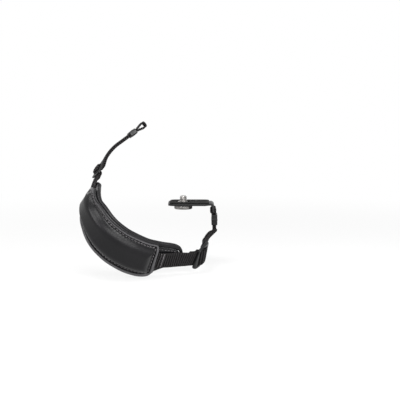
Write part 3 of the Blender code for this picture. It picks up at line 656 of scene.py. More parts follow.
def placed(name: str, data: Any) -> Piece:
    """Return a new object with this data, linked to the scene."""
    item = bpy.data.objects.new(name, data)
    bpy.context.scene.collection.objects.link(item)
    return item


def link_piece(name: str, mesh: bpy.types.Mesh) -> Piece:
    """Return a smooth-shaded object with this mesh, linked to the scene."""
    mesh.shade_smooth()
    return placed(name, mesh)


def points_piece(name: str, points: Sequence[Sequence[float]]) -> Piece:
    """Return a linked object of loose points, for a geometry tree to work on."""
    mesh = bpy.data.meshes.new(name)
    mesh.from_pydata(points, [], [])
    return placed(name, mesh)


def baked(piece: Piece) -> Piece:
    """Turn a piece's modifiers into plain mesh.

    Args:
        piece: The piece, changed in place.

    Returns:
        The same piece, with no modifiers.
    """
    graph = bpy.context.evaluated_depsgraph_get()
    mesh = bpy.data.meshes.new_from_object(piece.evaluated_get(graph))
    piece.modifiers.clear()
    old, piece.data = piece.data, mesh
    bpy.data.meshes.remove(old)
    return piece


def dress(
    piece: Piece, material: bpy.types.Material, body: Body, slot: str, stands_for: bool = True
) -> Piece:
    """Give a finished piece its material and body, and hide the solid that it stands for.

    Args:
        piece: The finished piece, at the origin.
        material: Its only material.
        body: The rigid body that it rides on.
        slot: The name of the solid that the piece stands for.
        stands_for: Whether the piece stands for that solid.

    Returns:
        The same piece.
    """
    piece.data.materials.clear()
    piece.data.materials.append(material)
    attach(piece, body.value)
    if stands_for:
        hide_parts(slot)
    LOG.info("%s: %d faces, on %s", piece.name, len(piece.data.polygons), body.value)
    return piece


def layered_shell(name: str, outline: Outline, top: Profile, bottom: Profile) -> Piece:
    """Make a closed panel on the strap from two profiles that run in from the same edge.

    Args:
        name: The new object's name.
        outline: The panel's edge.
        top: (inset, height) from the edge inwards for the outer face; a grid fills its last ring.
        bottom: The same for the inner face.

    Returns:
        The new object. Each point keeps its inset, its s and its v.
    """
    shell = Shell()
    edges = []
    for profile in (top, bottom):
        rings = []
        for inset, height in profile:
            s, v = outline.ring(inset).T
            points = STRAP_ROUTE.place(s, v, height(s, v, inset))
            rings.append(shell.add(points, inset=inset, along=s, across=v))
        shell.bridge(rings)
        fill_core(shell, outline, rings[-1], *profile[-1])
        edges.append(rings[0])
    shell.bridge(edges)
    return shell.finish(name)


def fill_core(shell: Shell, outline: Outline, ring: Array, core: float, height: Height) -> None:
    """Fill the last ring of a face with a grid.

    Args:
        shell: Gets the grid.
        outline: The panel's edge.
        ring: The last ring's point numbers.
        core: The last ring's inset.
        height: Gives the grid's heights.
    """
    n_long, n_end = outline.sides()
    rows = np.zeros((n_long + 1, n_end + 1), int)
    grid = outline.inner_grid(core)[1:-1, 1:-1]
    s, v = grid[..., 0], grid[..., 1]
    depth = np.maximum(outline.edge_distance(s, v), core)
    points = STRAP_ROUTE.place(s, v, height(s, v, depth))
    rows[1:-1, 1:-1] = shell.add(points, inset=depth, along=s, across=v)
    rows[:, 0] = ring[: n_long + 1]
    rows[:, n_end] = [ring[(2 * n_long + n_end - i) % len(ring)] for i in range(n_long + 1)]
    rows[n_long, :] = ring[n_long : n_long + n_end + 1]
    rows[0, :] = [ring[-j % len(ring)] for j in range(n_end + 1)]
    shell.bridge(rows, loops=False)


# ---- geometry node trees ----


def new_tree(name: str, sizes: dict[str, float]) -> tuple[Tree, bpy.types.NodeOutputs]:
    """Make a geometry tree with named inputs.

    Args:
        name: The tree's name.
        sizes: Input name to its value when nothing is set.

    Returns:
        The tree with no output node yet, and its inputs' sockets.
    """
    tree = bpy.data.node_groups.new(name, "GeometryNodeTree")
    for way in ("INPUT", "OUTPUT"):
        tree.interface.new_socket(name="Geometry", in_out=way, socket_type="NodeSocketGeometry")
    for label, value in sizes.items():
        socket = tree.interface.new_socket(name=label, in_out="INPUT", socket_type=SIZE_SOCKET)
        socket.default_value = value
    tree.interface.new_socket(name="Material", in_out="INPUT", socket_type=MATERIAL_SOCKET)
    return tree, add_node(tree, "NodeGroupInput").outputs


def close_tree(tree: Tree, geometry: bpy.types.Node, material: bpy.types.NodeSocket) -> Tree:
    """End a tree in Realize Instances, smooth shading and Set Material.

    Args:
        tree: The tree.
        geometry: The node that makes its geometry.
        material: The input that carries the material.

    Returns:
        The same tree.
    """
    real = add_node(tree, "GeometryNodeRealizeInstances", {"Geometry": geometry})
    shade = add_node(tree, "GeometryNodeSetShadeSmooth", {"Geometry": real})
    paint = add_node(tree, "GeometryNodeSetMaterial", {"Geometry": shade, "Material": material})
    add_node(tree, "NodeGroupOutput", {"Geometry": paint})
    return tree


def run_tree(piece: Piece, tree: Tree, values: dict[str, Any]) -> Piece:
    """Run a geometry tree on a piece and keep the result as plain mesh.

    Args:
        piece: The piece that carries the points.
        tree: The geometry tree.
        values: Input name to value.

    Returns:
        The same piece with the tree's result.
    """
    modifier = piece.modifiers.new(tree.name, "NODES")
    modifier.node_group = tree
    for item in tree.interface.items_tree:
        if item.item_type == "SOCKET" and item.in_out == "INPUT" and item.name in values:
            modifier[item.identifier] = values[item.name]
    return baked(piece)


def stitch_tree() -> Tree:
    """Build the tree that lays one thread stitch on every point, along its run direction.

    Returns:
        The tree.
    """
    tree, given = new_tree("sewn_stitches", {"Length": 0.0023, "Thread": 0.0003})
    run, out = (add_node(tree, NAMED, {"Name": n}, data_type="FLOAT_VECTOR") for n in ("run", "out"))
    axes = {"Primary Axis": run, "Secondary Axis": out}
    turn = add_node(
        tree, "FunctionNodeAxesToRotation", axes, primary_axis="X", secondary_axis="Z"
    )
    bead = add_node(tree, "GeometryNodeMeshUVSphere", {"Segments": 8, "Rings": 6, "Radius": 1.0})
    half = add_node(tree, MATH, {0: given["Length"], 1: 0.5}, operation="MULTIPLY")
    thread = given["Thread"]
    size = add_node(tree, "ShaderNodeCombineXYZ", {0: half, 1: thread, 2: thread})
    laid = {"Points": given["Geometry"], "Instance": bead, "Rotation": turn, "Scale": size}
    stitches = add_node(tree, "GeometryNodeInstanceOnPoints", laid)
    return close_tree(tree, stitches, given["Material"])


def rib_tree() -> Tree:
    """Build the tree that raises a webbing's cross ribs, from each point's length along it.

    Returns:
        The tree.
    """
    tree, given = new_tree("webbing_ribs", {"Pitch": 0.0012, "Depth": 0.0001})
    along, face = (add_node(tree, NAMED, {"Name": n}, data_type="FLOAT") for n in ("along", "face"))
    out = add_node(tree, NAMED, {"Name": "out"}, data_type="FLOAT_VECTOR")
    lift = along
    for operation, other in (
        ("DIVIDE", given["Pitch"]),
        ("MULTIPLY", math.pi),
        ("SINE", 0.0),
        ("ABSOLUTE", 0.0),
        ("MULTIPLY", given["Depth"]),
        ("MULTIPLY", face),
    ):
        lift = add_node(tree, MATH, {0: lift, 1: other}, operation=operation)
    move = add_node(tree, "ShaderNodeVectorMath", {0: out, "Scale": lift}, operation="SCALE")
    moved = {"Geometry": given["Geometry"], "Offset": move}
    return close_tree(tree, add_node(tree, "GeometryNodeSetPosition", moved), given["Material"])


def pip_tree() -> Tree:
    """Build the tree that puts a low moulded pip on every point.

    Returns:
        The tree.
    """
    tree, given = new_tree("moulded_pips", {"Radius": 0.0005, "Height": 0.0001})
    ball = add_node(tree, "GeometryNodeMeshUVSphere", {"Segments": 12, "Rings": 6, "Radius": 1.0})
    radius = given["Radius"]
    size = add_node(tree, "ShaderNodeCombineXYZ", {0: radius, 1: radius, 2: given["Height"]})
    laid = {"Points": given["Geometry"], "Instance": ball, "Scale": size}
    return close_tree(tree, add_node(tree, "GeometryNodeInstanceOnPoints", laid), given["Material"])


# ---- finishes ----


@dataclass(frozen=True)
class Finish:
    """A named material, whose nodes each kind of finish lays for itself."""

    name: str

    def sockets(self, tree: Tree, where: bpy.types.NodeSocket) -> dict[str, Any]:
        """Return what the shader's inputs get; where gives the place in metres."""
        raise NotImplementedError(self.name)

    def make(self) -> bpy.types.Material:
        """Build the material.

        Returns:
            The new material.
        """
        material = bpy.data.materials.new(self.name)
        material.use_nodes = True
        tree = material.node_tree
        where = add_node(tree, "ShaderNodeTexCoord").outputs["Object"]
        for name, value in self.sockets(tree, where).items():
            feed(tree, tree.nodes["Principled BSDF"].inputs[name], value)
        return material


@dataclass(frozen=True)
class GrainLeather(Finish):
    """Drum-dyed cow hide under a thin pigment coat.

    It shows a fine pebbled grain and a broad satin glow on rounded forms. Near an edge it can
    take a painted light tone: on the panel a pale painted highlight along the bead's ridge, on
    the binding a brown painted shade along its inner side.
    """

    deep: str = "050507"
    worn: str = "0c0b0e"
    painted_light_tone: str = "4c4b4d"
    grain_mm: float = 0.9
    roughness: float = 0.34
    ridge: float = 0.0
    painted_from: float = 0.0
    painted_to: float = 0.0
    painted_by: str = "inset"

    def sockets(self, tree: Tree, where: bpy.types.NodeSocket) -> dict[str, Any]:
        """Lay the hide's nodes.

        Args:
            tree: The material's tree.
            where: Gives the place in metres.

        Returns:
            What the shader's inputs get.
        """
        grain = {"Vector": where, "Scale": per_metre(self.grain_mm), "Randomness": 0.9}
        cells = add_node(tree, "ShaderNodeTexVoronoi", grain, feature="SMOOTH_F1")
        # Hair pores and creases between the pebbles, drawn coarser than real so that they show
        folds = {"Vector": where, "Scale": per_metre(3.5), "Detail": 6.0, "Roughness": 0.62}
        creases = add_node(tree, NOISE, folds)
        # The dye took unevenly, over a few centimetres
        clouds = add_node(tree, NOISE, {"Vector": where, "Scale": per_metre(28.0), "Detail": 3.0})
        bump = add_node(tree, BUMP, {"Height": cells, "Strength": 0.16, "Distance": 0.0002})
        fold = {"Height": creases, "Strength": 0.07, "Distance": 0.0003, "Normal": bump}
        bump = add_node(tree, BUMP, fold)
        tone = add_node(tree, MAP, {"Value": clouds, "From Min": 0.35, "From Max": 0.7})
        dyes = {0: tone, 6: hex_colour(self.deep), 7: hex_colour(self.worn)}
        colour = add_node(tree, MIX, dyes, data_type="RGBA").outputs[2]
        # Painted light along an edge: a pale painted highlight on the panel's bead, a brown painted
        # shade on the binding's inner side
        if self.painted_to != self.painted_from:
            edge = {0: self.edge(tree), 6: colour, 7: hex_colour(self.painted_light_tone)}
            colour = add_node(tree, MIX, edge, data_type="RGBA").outputs[2]
        gloss = {"Value": creases, "From Min": 0.3, "From Max": 0.7}
        gloss |= {"To Min": self.roughness - 0.03, "To Max": self.roughness + 0.05}
        return {
            "Base Color": colour,
            "Roughness": add_node(tree, MAP, gloss),
            "Normal": bump,
            "Specular IOR Level": 0.24,
        }

    def edge(self, tree: Tree) -> bpy.types.Node:
        """Lay the nodes that mask where the painted light tone goes along an edge.

        Args:
            tree: The material's tree.

        Returns:
            A node that gives one on the edge and zero away from it.
        """
        reach = add_node(tree, "ShaderNodeAttribute", attribute_name=self.painted_by).outputs["Fac"]
        if self.ridge:
            reach = add_node(tree, MATH, {0: reach, 1: self.ridge}, operation="SUBTRACT")
            reach = add_node(tree, MATH, {0: reach}, operation="ABSOLUTE")
        fade = {"Value": reach, "From Min": self.painted_from, "From Max": self.painted_to}
        fade |= {"To Min": 1.0, "To Max": 0.0}
        return add_node(tree, MAP, fade, interpolation_type="SMOOTHSTEP")


@dataclass(frozen=True)
class NylonWebbing(Finish):
    """Woven nylon webbing.

    It shows cross ribs that catch light on their tops and stay dark between, scored lightly by
    the warp threads, with no gloss.
    """

    deep: str = "020202"
    raised: str = "2c2a2b"
    thread_mm: float = 0.75
    pitch_mm: float = 2.0

    def sockets(self, tree: Tree, where: bpy.types.NodeSocket) -> dict[str, Any]:
        """Lay the weave's nodes.

        Args:
            tree: The material's tree.
            where: Gives the place in metres.

        Returns:
            What the shader's inputs get.
        """
        humps = []
        for name, size in (("along", self.pitch_mm), ("across", self.thread_mm)):
            wave = add_node(tree, "ShaderNodeAttribute", attribute_name=name).outputs["Fac"]
            turns = {0: wave, 1: math.pi * per_metre(size)}
            wave = add_node(tree, MATH, turns, operation="MULTIPLY")
            wave = add_node(tree, MATH, {0: wave}, operation="SINE")
            humps.append(add_node(tree, MATH, {0: wave}, operation="ABSOLUTE"))
        # The ribs run straight across; the warp threads only score them lightly
        scored = add_node(tree, MATH, {0: humps[1], 1: 0.2, 2: 0.8}, operation="MULTIPLY_ADD")
        height = add_node(tree, MATH, {0: humps[0], 1: scored}, operation="MULTIPLY")
        fuzz = add_node(tree, NOISE, {"Vector": where, "Scale": per_metre(0.5), "Detail": 4.0})
        bump = add_node(tree, BUMP, {"Height": height, "Strength": 1.0, "Distance": 0.0003})
        fibre = {"Height": fuzz, "Strength": 0.25, "Distance": 0.0001, "Normal": bump}
        # Light reaches only the rib tops, so the valleys stay dark for much of their width
        lit = add_node(tree, MATH, {0: height, 1: 2.0}, operation="POWER")
        shades = {0: lit, 6: hex_colour(self.deep), 7: hex_colour(self.raised)}
        return {
            "Base Color": add_node(tree, MIX, shades, data_type="RGBA").outputs[2],
            "Normal": add_node(tree, BUMP, fibre),
            "Roughness": 0.72,
            "Specular IOR Level": 0.10,
        }


@dataclass(frozen=True)
class HardFinish(Finish):
    """A moulded, coated or turned surface: one colour, fine relief and an uneven gloss."""

    colour: str
    roughness: float
    patch_mm: float
    patch_detail: float
    smoother: float
    rougher: float
    relief_mm: float = 0.5
    relief_detail: float = 3.0
    relief: float = 0.0
    specular: float = 0.22
    ior: float = 1.5
    metallic: float = 0.0

    def sockets(self, tree: Tree, where: bpy.types.NodeSocket) -> dict[str, Any]:
        """Lay the surface's nodes.

        Args:
            tree: The material's tree.
            where: Gives the place in metres.

        Returns:
            What the shader's inputs get.
        """
        patch = {"Vector": where, "Scale": per_metre(self.patch_mm), "Detail": self.patch_detail}
        gloss = {"Value": add_node(tree, NOISE, patch), "From Min": 0.3, "From Max": 0.7}
        gloss |= {"To Min": self.roughness - self.smoother, "To Max": self.roughness + self.rougher}
        sockets = {
            "Base Color": hex_colour(self.colour),
            "Roughness": add_node(tree, MAP, gloss),
            "Specular IOR Level": self.specular,
            "IOR": self.ior,
            "Metallic": self.metallic,
        }
        if self.relief:
            grit = {"Vector": where, "Scale": per_metre(self.relief_mm), "Detail": self.relief_detail}
            height = add_node(tree, NOISE, grit)
            rise = {"Height": height, "Strength": self.relief, "Distance": 0.0001}
            sockets["Normal"] = add_node(tree, BUMP, rise)
        return sockets


@dataclass(frozen=True)
class SoftMatt(Finish):
    """A matt soft finish: moulded rubber, foam, brushed lining or bonded thread."""

    deep: str
    raised: str
    grain_mm: float = 0.6
    roughness: float = 0.85
    sheen: float = 0.0
    bump: float = 0.4

    def sockets(self, tree: Tree, where: bpy.types.NodeSocket) -> dict[str, Any]:
        """Lay the nap's nodes.

        Args:
            tree: The material's tree.
            where: Gives the place in metres.

        Returns:
            What the shader's inputs get.
        """
        fine = {"Vector": where, "Scale": per_metre(self.grain_mm), "Detail": 5.0, "Roughness": 0.65}
        nap = add_node(tree, NOISE, fine)
        patches = add_node(tree, NOISE, {"Vector": where, "Scale": per_metre(12.0), "Detail": 3.0})
        both = add_node(tree, MATH, {0: nap, 1: patches}, operation="MULTIPLY")
        spread = add_node(tree, MAP, {"Value": both, "From Min": 0.12, "From Max": 0.42})
        shades = {0: spread, 6: hex_colour(self.deep), 7: hex_colour(self.raised)}
        return {
            "Base Color": add_node(tree, MIX, shades, data_type="RGBA").outputs[2],
            "Normal": add_node(tree, BUMP, {"Height": nap, "Strength": self.bump, "Distance": 0.0002}),
            "Roughness": self.roughness,
            "Specular IOR Level": 0.12,
            "Sheen Weight": self.sheen,
        }


def made(finish: Finish) -> Any:
    """Return a dataclass field that holds this finish's material."""
    return field(default_factory=finish.make)


@dataclass
class Finishes:
    """Every material of the strap, made once."""

    # The rolled bead's ridge gets a pale painted highlight, which draws a light line round the panel
    panel_leather: bpy.types.Material = made(
        GrainLeather("satin_black_hide", ridge=0.0020, painted_from=0.0002, painted_to=0.0014)
    )
    # The cover's hide lies flat, so it shows only its grain
    cover_leather: bpy.types.Material = made(GrainLeather("satin_black_hide_cover"))
    # The binding is turned over a cord; its inner side, towards the hand, gets a brown painted shade
    edge_leather: bpy.types.Material = made(
        GrainLeather(
            "edge_binding_hide",
            painted_light_tone="2c1a17",
            grain_mm=0.7,
            roughness=0.44,
            painted_from=-0.95,
            painted_to=-0.60,
            painted_by="outward",
        )
    )
    webbing: bpy.types.Material = made(NylonWebbing("woven_nylon_webbing"))
    # Injection moulding copies the tool's spark-eroded skin: deep black with a soft narrow shine
    plastic: bpy.types.Material = made(
        HardFinish("moulded_nylon", "0d0d0e", 0.30, 6.0, 2.0, 0.04, 0.08, relief=0.05, ior=1.53)
    )
    # A baked powder coat flows into a fine orange peel over mild steel, with a satin film
    coated_steel: bpy.types.Material = made(
        HardFinish(
            "powder_coated_steel", "131314", 0.40, 9.0, 5.0, 0.08, 0.10, 0.8, 2.0, relief=0.2
        )
    )
    # Turned stainless steel is bright, and its tool marks break the shine up
    bare_steel: bpy.types.Material = made(
        HardFinish(
            "turned_stainless_steel", "8f8d8b", 0.36, 0.6, 3.0, 0.06, 0.10, specular=0.5, metallic=1.0
        )
    )
    # Moulded rubber is dull and even
    rubber: bpy.types.Material = made(
        SoftMatt("moulded_rubber", "131313", "1f1f1f", roughness=0.8, bump=0.25)
    )
    # Closed cells at the foam's cut edge make a coarse pale speckle
    foam: bpy.types.Material = made(
        SoftMatt("closed_cell_foam", "3a3a3b", "525254", grain_mm=1.2, roughness=0.95)
    )
    # Brushing lifts the lining's fibres into a nap that glows where it is seen edge on
    lining: bpy.types.Material = made(
        SoftMatt("brushed_lining", "1d1a1a", "37312f", grain_mm=1.0, roughness=0.95, sheen=0.4)
    )
    # Bonding glues the thread's filaments together: paler than the hide, with a faint shine
    thread: bpy.types.Material = made(
        SoftMatt("bonded_nylon_thread", "444244", "787577", grain_mm=0.4, roughness=0.5)
    )


# ---- sewing ----


@dataclass
class StitchRow:
    """Stitches laid along a line of strap places."""

    places: Array
    pitch: float
    across_row: bool = False

    def points(self) -> tuple[Array, Array, Array]:
        """Set the stitches out.

        Returns:
            Each stitch's middle, direction and outward direction.
        """
        world = STRAP_ROUTE.place(*self.places.T)
        reach = reach_along(world)
        count = max(1, int(reach[-1] / self.pitch))
        at = (np.arange(count) + 0.5) * reach[-1] / count
        step = self.pitch * 0.2
        before, middle, after = (read_path(at + k * step, reach, world) for k in (-1, 0, 1))
        along, _, outward = STRAP_ROUTE.axes(np.interp(at, reach, self.places[:, 0]))
        return middle, unit(along if self.across_row else after - before), outward


def sew(
    name: str, rows: Sequence[StitchRow], length: float, thread: float, finishes: Finishes
) -> Piece:
    """Lay rows of stitches as one piece.

    Args:
        name: The new piece's name.
        rows: The rows to sew.
        length: One stitch's length on the surface.
        thread: The thread's radius, drawn coarser than real so that it shows.
        finishes: Gives the thread's material.

    Returns:
        The stitches as one plain mesh.
    """
    middle, run, out = (np.vstack(part) for part in zip(*(row.points() for row in rows)))
    piece = points_piece(name, middle.tolist())
    keep_values(piece.data, "run", run)
    keep_values(piece.data, "out", out)
    tree = bpy.data.node_groups.get("sewn_stitches") or stitch_tree()
    values = {"Length": length, "Thread": thread, "Material": finishes.thread}
    return run_tree(piece, tree, values)


# ---- the pad ----


@dataclass
class Pad:
    """The pad: a crowned leather panel over an inner pad with a rolled edge."""

    lower_web: float = 0.0012
    lower_width: float = 0.015
    upper_width: float = 0.010
    cover: float = 0.0009
    foam: float = 0.0022
    lining: float = 0.0008
    lining_puff: float = 0.0009
    rim_radius: float = 0.0022
    rim_seam: float = 0.0002
    rim_corner: float = 0.0072
    rim_sides: int = 28
    pad_start: float = 0.0875
    pad_end: float = 0.2175
    panel_start: float = 0.1140
    panel_end: float = 0.2075
    panel_thickness: float = 0.0012
    panel_corner: float = 0.0045
    panel_end_corner: float = 0.0085
    slant: float = 0.10
    bead: float = 0.0018
    bead_lift: float = 0.0004
    stitch_inset: float = 0.0044
    groove: float = 0.00095
    groove_width: float = 0.00045
    pull: float = 0.00018
    crown_height: float = 0.0046
    crown_reach: float = 0.0100
    core_inset: float = 0.0072
    drape_start: float = 0.0020
    drape: float = 0.0045
    stitch_pitch: float = 0.0031
    pucker: float = 0.00012

    def __post_init__(self) -> None:
        """Work out the layers' heights and edges."""
        self.cover_top = -self.lower_web / 2 - CLEARANCE
        self.foam_top = self.cover_top - self.cover - CLEARANCE
        self.lining_top = self.foam_top - self.foam - CLEARANCE
        self.lining_bottom = self.lining_top - self.lining
        self.rim_h = (self.cover_top + self.lining_bottom) / 2
        self.panel_rest = self.rim_h + self.rim_radius + CLEARANCE
        self.panel_over_web = self.lower_web / 2 + CLEARANCE
        trim = 2 * self.rim_radius + CLEARANCE + self.rim_seam
        start, end = self.pad_start, self.pad_end
        self.layers = Outline(start + trim, end - trim, self.rim_radius, trim, end_steps=16)
        self.rim = Outline(start, end, self.rim_corner, end_steps=10, long_steps=150)
        self.panel = Outline(
            self.panel_start,
            self.panel_end,
            self.panel_corner,
            slant=self.slant,
            end_corner=self.panel_end_corner,
            long_steps=170,
            end_steps=52,
        )

    def floor(self, s: Any, v: Any) -> Array:
        """Find the panel's underside: on the inner pad, or draped over the webbing.

        Args:
            s: Lengths along the strap.
            v: Distances across it.

        Returns:
            The heights.
        """
        middle = (self.panel_start + self.panel_end) / 2
        to_upper = smooth((s - middle) / (self.panel_end - self.panel_start) * 4)
        half = (self.lower_width * (1 - to_upper) + self.upper_width * to_upper) / 2
        off_web = smooth((np.abs(v) - half - self.drape_start) / self.drape)
        return self.panel_over_web + (self.panel_rest - self.panel_over_web) * off_web

    def crown(self, inset: Any) -> Array:
        """Return the crown's rise at an inset from the panel's edge."""
        t = np.clip((np.asarray(inset) - self.stitch_inset) / self.crown_reach, 0.0, 1.0)
        return self.crown_height * (2 * t - 2 * t**3 + t**4)

    def panel_face(self, rise: float) -> Height:
        """Return the height function of a panel face that lies rise above the underside."""
        return lambda s, v, inset: self.floor(s, v) + rise + self.crown(inset)

    def seam_face(self, s: Array, v: Array, inset: float) -> Array:
        """Find the outer face at the seam: a deep crease, the sewn line and a shallow crease.

        Args:
            s: Lengths along the strap.
            v: Distances across it.
            inset: The ring's inset from the panel's edge.

        Returns:
            The heights.
        """
        gap = inset - self.stitch_inset
        deep = self.groove * bell(gap + 0.0008, self.groove_width)
        shallow = self.groove * 0.55 * bell(gap - 0.0009, self.groove_width)
        pull = self.pull * bell(gap, 0.0006)
        reach = reach_along(closed(self.panel.ring(self.stitch_inset)))
        stitches = round(reach[-1] / self.stitch_pitch)
        wave = np.cos(2 * math.pi * stitches * reach[:-1] / reach[-1]) * bell(gap, 0.0013)
        face = self.panel_face(self.panel_thickness)(s, v, inset)
        return face - deep - shallow - pull - self.pucker * wave

    def build_panel(self, finishes: Finishes) -> None:
        """Make the crowned leather panel with its rolled bead, stitches and foam.

        Args:
            finishes: Every material.
        """
        core, skin, under = self.core_inset, self.panel_thickness, self.panel_face(0.0)
        top: Profile = [
            (self.bead * (1 - math.cos(a)), self.panel_face(self.bead_lift + self.bead * math.sin(a)))
            for a in np.radians(np.linspace(0, 152, 15))
        ]
        seam_mm = (3.62, 3.85, 4.1, 4.4, 4.7, 5.0, 5.3, 5.6, 6.0, 6.5)
        top += [(inset * MM, self.seam_face) for inset in seam_mm]
        top.append((core, self.panel_face(skin)))
        bottom: Profile = [
            (inset, under) for inset in (self.bead_lift, self.stitch_inset, 0.0058, core)
        ]
        panel = layered_shell("crowned_leather_panel", self.panel, top, bottom)
        dress(panel, finishes.panel_leather, Body.STRAP, "outer_panel")
        coarse = replace(self.panel, long_steps=60, end_steps=20, corner_steps=3)
        inside = [(core, self.panel_face(-CLEARANCE))], [(core, lambda s, v, _: self.floor(s, v))]
        foam = layered_shell("panel_foam_pad", coarse, *inside)
        dress(foam, finishes.foam, Body.STRAP, "panel_foam")
        s, v = closed(self.panel.ring(self.stitch_inset)).T
        h = self.panel_face(skin - 0.00004)(s, v, self.stitch_inset)
        row = StitchRow(np.column_stack([s, v, h]), self.stitch_pitch)
        stitches = sew("panel_stitches", [row], 0.0025, 0.00040, finishes)
        dress(stitches, finishes.thread, Body.STRAP, "outer_panel", stands_for=False)

    def layer(self, name: str, upper: float, thickness: float, puff: float = 0.0) -> Piece:
        """Make one layer of the inner pad.

        Args:
            name: The new piece's name.
            upper: Height of its outer face.
            thickness: Its thickness at the edge.
            puff: How far its inner face swells out from there.

        Returns:
            The layer.
        """

        def level(h: float, swell: float) -> Height:
            """Return the height function of a face that swells from its edge."""
            return lambda s, v, inset: h + swell * smooth(np.asarray(inset) / 0.005) + 0.0 * s

        insets = (0.0, 0.0004, 0.001, 0.0018, 0.0026)
        top = [(inset, level(upper, 0.0)) for inset in insets]
        bottom = [(inset, level(upper - thickness, -puff)) for inset in insets]
        return layered_shell(name, self.layers, top, bottom)

    def build_inner_pad(self, finishes: Finishes) -> None:
        """Make the inner pad's cover, foam, lining, rolled edge and stitching.

        Args:
            finishes: Every material.
        """
        cover = self.layer("pad_cover_leather", self.cover_top, self.cover)
        dress(cover, finishes.cover_leather, Body.STRAP, "inner_cover")
        foam = self.layer("pad_foam_layer", self.foam_top, self.foam)
        dress(foam, finishes.foam, Body.STRAP, "inner_foam")
        lining = self.layer("pad_lining", self.lining_top, self.lining, self.lining_puff)
        dress(lining, finishes.lining, Body.STRAP, "inner_lining")
        self.build_rim(finishes)
        rows = []
        for inset, h in ((0.0012, self.cover_top + 0.00012), (0.0014, self.lining_bottom - 0.0002)):
            ring = closed(self.layers.ring(inset))
            rows.append(StitchRow(np.column_stack([ring, np.full(len(ring), h)]), self.stitch_pitch))
        stitches = sew("pad_stitches", rows, 0.0024, 0.00026, finishes)
        dress(stitches, finishes.thread, Body.STRAP, "inner_cover", stands_for=False)

    def build_rim(self, finishes: Finishes) -> None:
        """Make the rolled edge: leather turned round a cord, with a pressed line where it is glued.

        Args:
            finishes: Every material.
        """
        shell = Shell()
        rings = []
        for angle in np.arange(self.rim_sides) * 2 * math.pi / self.rim_sides:
            radius = self.rim_radius * (1 - 0.10 * bell(angle - 1.25, 0.22))
            s, v = self.rim.ring(self.rim_radius - radius * math.cos(angle)).T
            points = STRAP_ROUTE.place(s, v, self.rim_h + radius * math.sin(angle))
            # outward is lowest on the binding's inner side, where the finish lays its brown painted
            # shade
            rings.append(shell.add(points, outward=math.sin(angle), along=s))
        shell.bridge(rings + rings[:1])
        rim = shell.finish("rolled_pad_edge")
        dress(rim, finishes.edge_leather, Body.STRAP, "rim_piping")


# ---- webbing ----


@dataclass
class SlideBuckle:
    """A slide buckle: a rounded frame with two slots and a thinner centre bar."""

    name: str
    node: str
    centre: float
    web_width: float
    web_thickness: float
    thickness: float
    bar: float
    slot: float
    centre_bar: float
    centre_thickness: float
    wall: float
    corner: float
    side_gap: float = 0.0004
    weave_angle: float = 60.0

    @property
    def half_length(self) -> float:
        """Half the buckle's length along the strap."""
        return self.centre_bar / 2 + self.slot + self.bar

    @property
    def bar_h(self) -> float:
        """The height of the bars' middle over the webbing's middle."""
        return self.web_thickness / 2 + CLEARANCE + self.thickness / 2

    @property
    def centre_top(self) -> float:
        """The height of the centre bar's outer face."""
        return self.bar_h - self.thickness / 2 + self.centre_thickness

    def weave(self, pitch: float, way: int) -> list[tuple[float, float]]:
        """Lay two webbing layers under, over and under the bars.

        Args:
            pitch: Distance between the layers' middles.
            way: 1 where the path runs to greater s, -1 to smaller.

        Returns:
            The (s, h) corners of the middle between the layers.
        """
        slope = math.tan(math.radians(self.weave_angle))
        low = -pitch / 2
        high = self.centre_top + CLEARANCE + self.web_thickness / 2 + pitch / 2
        mid_s = (self.centre_bar + self.slot) / 2
        mid_h = (self.bar_h - self.thickness / 2 + self.centre_top) / 2
        foot = mid_s + (mid_h - low) / slope
        head = mid_s - (high - mid_h) / slope
        corners = ((-foot, low), (-head, high), (head, high), (foot, low))
        return [(self.centre + way * s, h) for s, h in corners]

    def build(self, finishes: Finishes) -> None:
        """Make the frame and its centre bar with softly moulded edges.

        Args:
            finishes: Every material.
        """
        shell = Shell()

        def bent(x: Any, y: Any, z: Any) -> Array:
            """Return points of the buckle's own frame in the part's frame."""
            return STRAP_ROUTE.place(self.centre + x, y, self.bar_h + z)

        ends = self.web_width / 2 + self.side_gap + self.wall / 2
        path = rounded_rectangle(self.half_length - self.bar / 2, ends, self.corner * 0.75)
        section = rounded_rectangle(self.bar / 2, self.thickness / 2, self.thickness * 0.32)
        shell.sweep(fill_closed(path, 0.0012), section, bent)
        thick = self.centre_thickness
        x, z = rounded_rectangle(self.centre_bar / 2, thick / 2, thick * 0.4).T
        v = np.linspace(-ends, ends, 17)[:, None]
        rows = shell.add(bent(x[None], v, z[None] - (self.thickness - thick) / 2))
        shell.bridge(rows, caps=True)
        dress(shell.finish(self.name), finishes.plastic, Body.STRAP, self.node)


@dataclass
class Keeper:
    """A flat moulded loop round two layers of webbing."""

    name: str
    node: str
    body: Body
    centre: float
    length: float
    web_width: float
    web_thickness: float
    wall: float = 0.0010
    side_wall: float = 0.0013
    rib_height: float = 0.00022

    def build(self, finishes: Finishes) -> None:
        """Make the loop with rounded rims and a raised line round its middle.

        Args:
            finishes: Every material.
        """
        shell = Shell()
        pitch = self.web_thickness + CLEARANCE
        out_h = pitch / 2 + self.web_thickness / 2 + CLEARANCE + self.wall / 2
        out_v = self.web_width / 2 + CLEARANCE + self.side_wall / 2

        def bent(x: Any, y: Any, z: Any) -> Array:
            """Return points of the loop's own frame in the part's frame."""
            return STRAP_ROUTE.place(self.centre + z, y, x - pitch / 2)

        path = fill_closed(rounded_rectangle(out_h, out_v, 0.0008), 0.0012)
        section = rounded_rectangle(self.wall / 2, self.length / 2, self.wall * 0.35)
        section = fill_closed(section, 0.0008)
        section[:, 0] += self.rib_height * bell(section[:, 1], 0.0007) * (section[:, 0] > 0)
        shell.sweep(path, section, bent)
        dress(shell.finish(self.name), finishes.plastic, self.body, self.node)


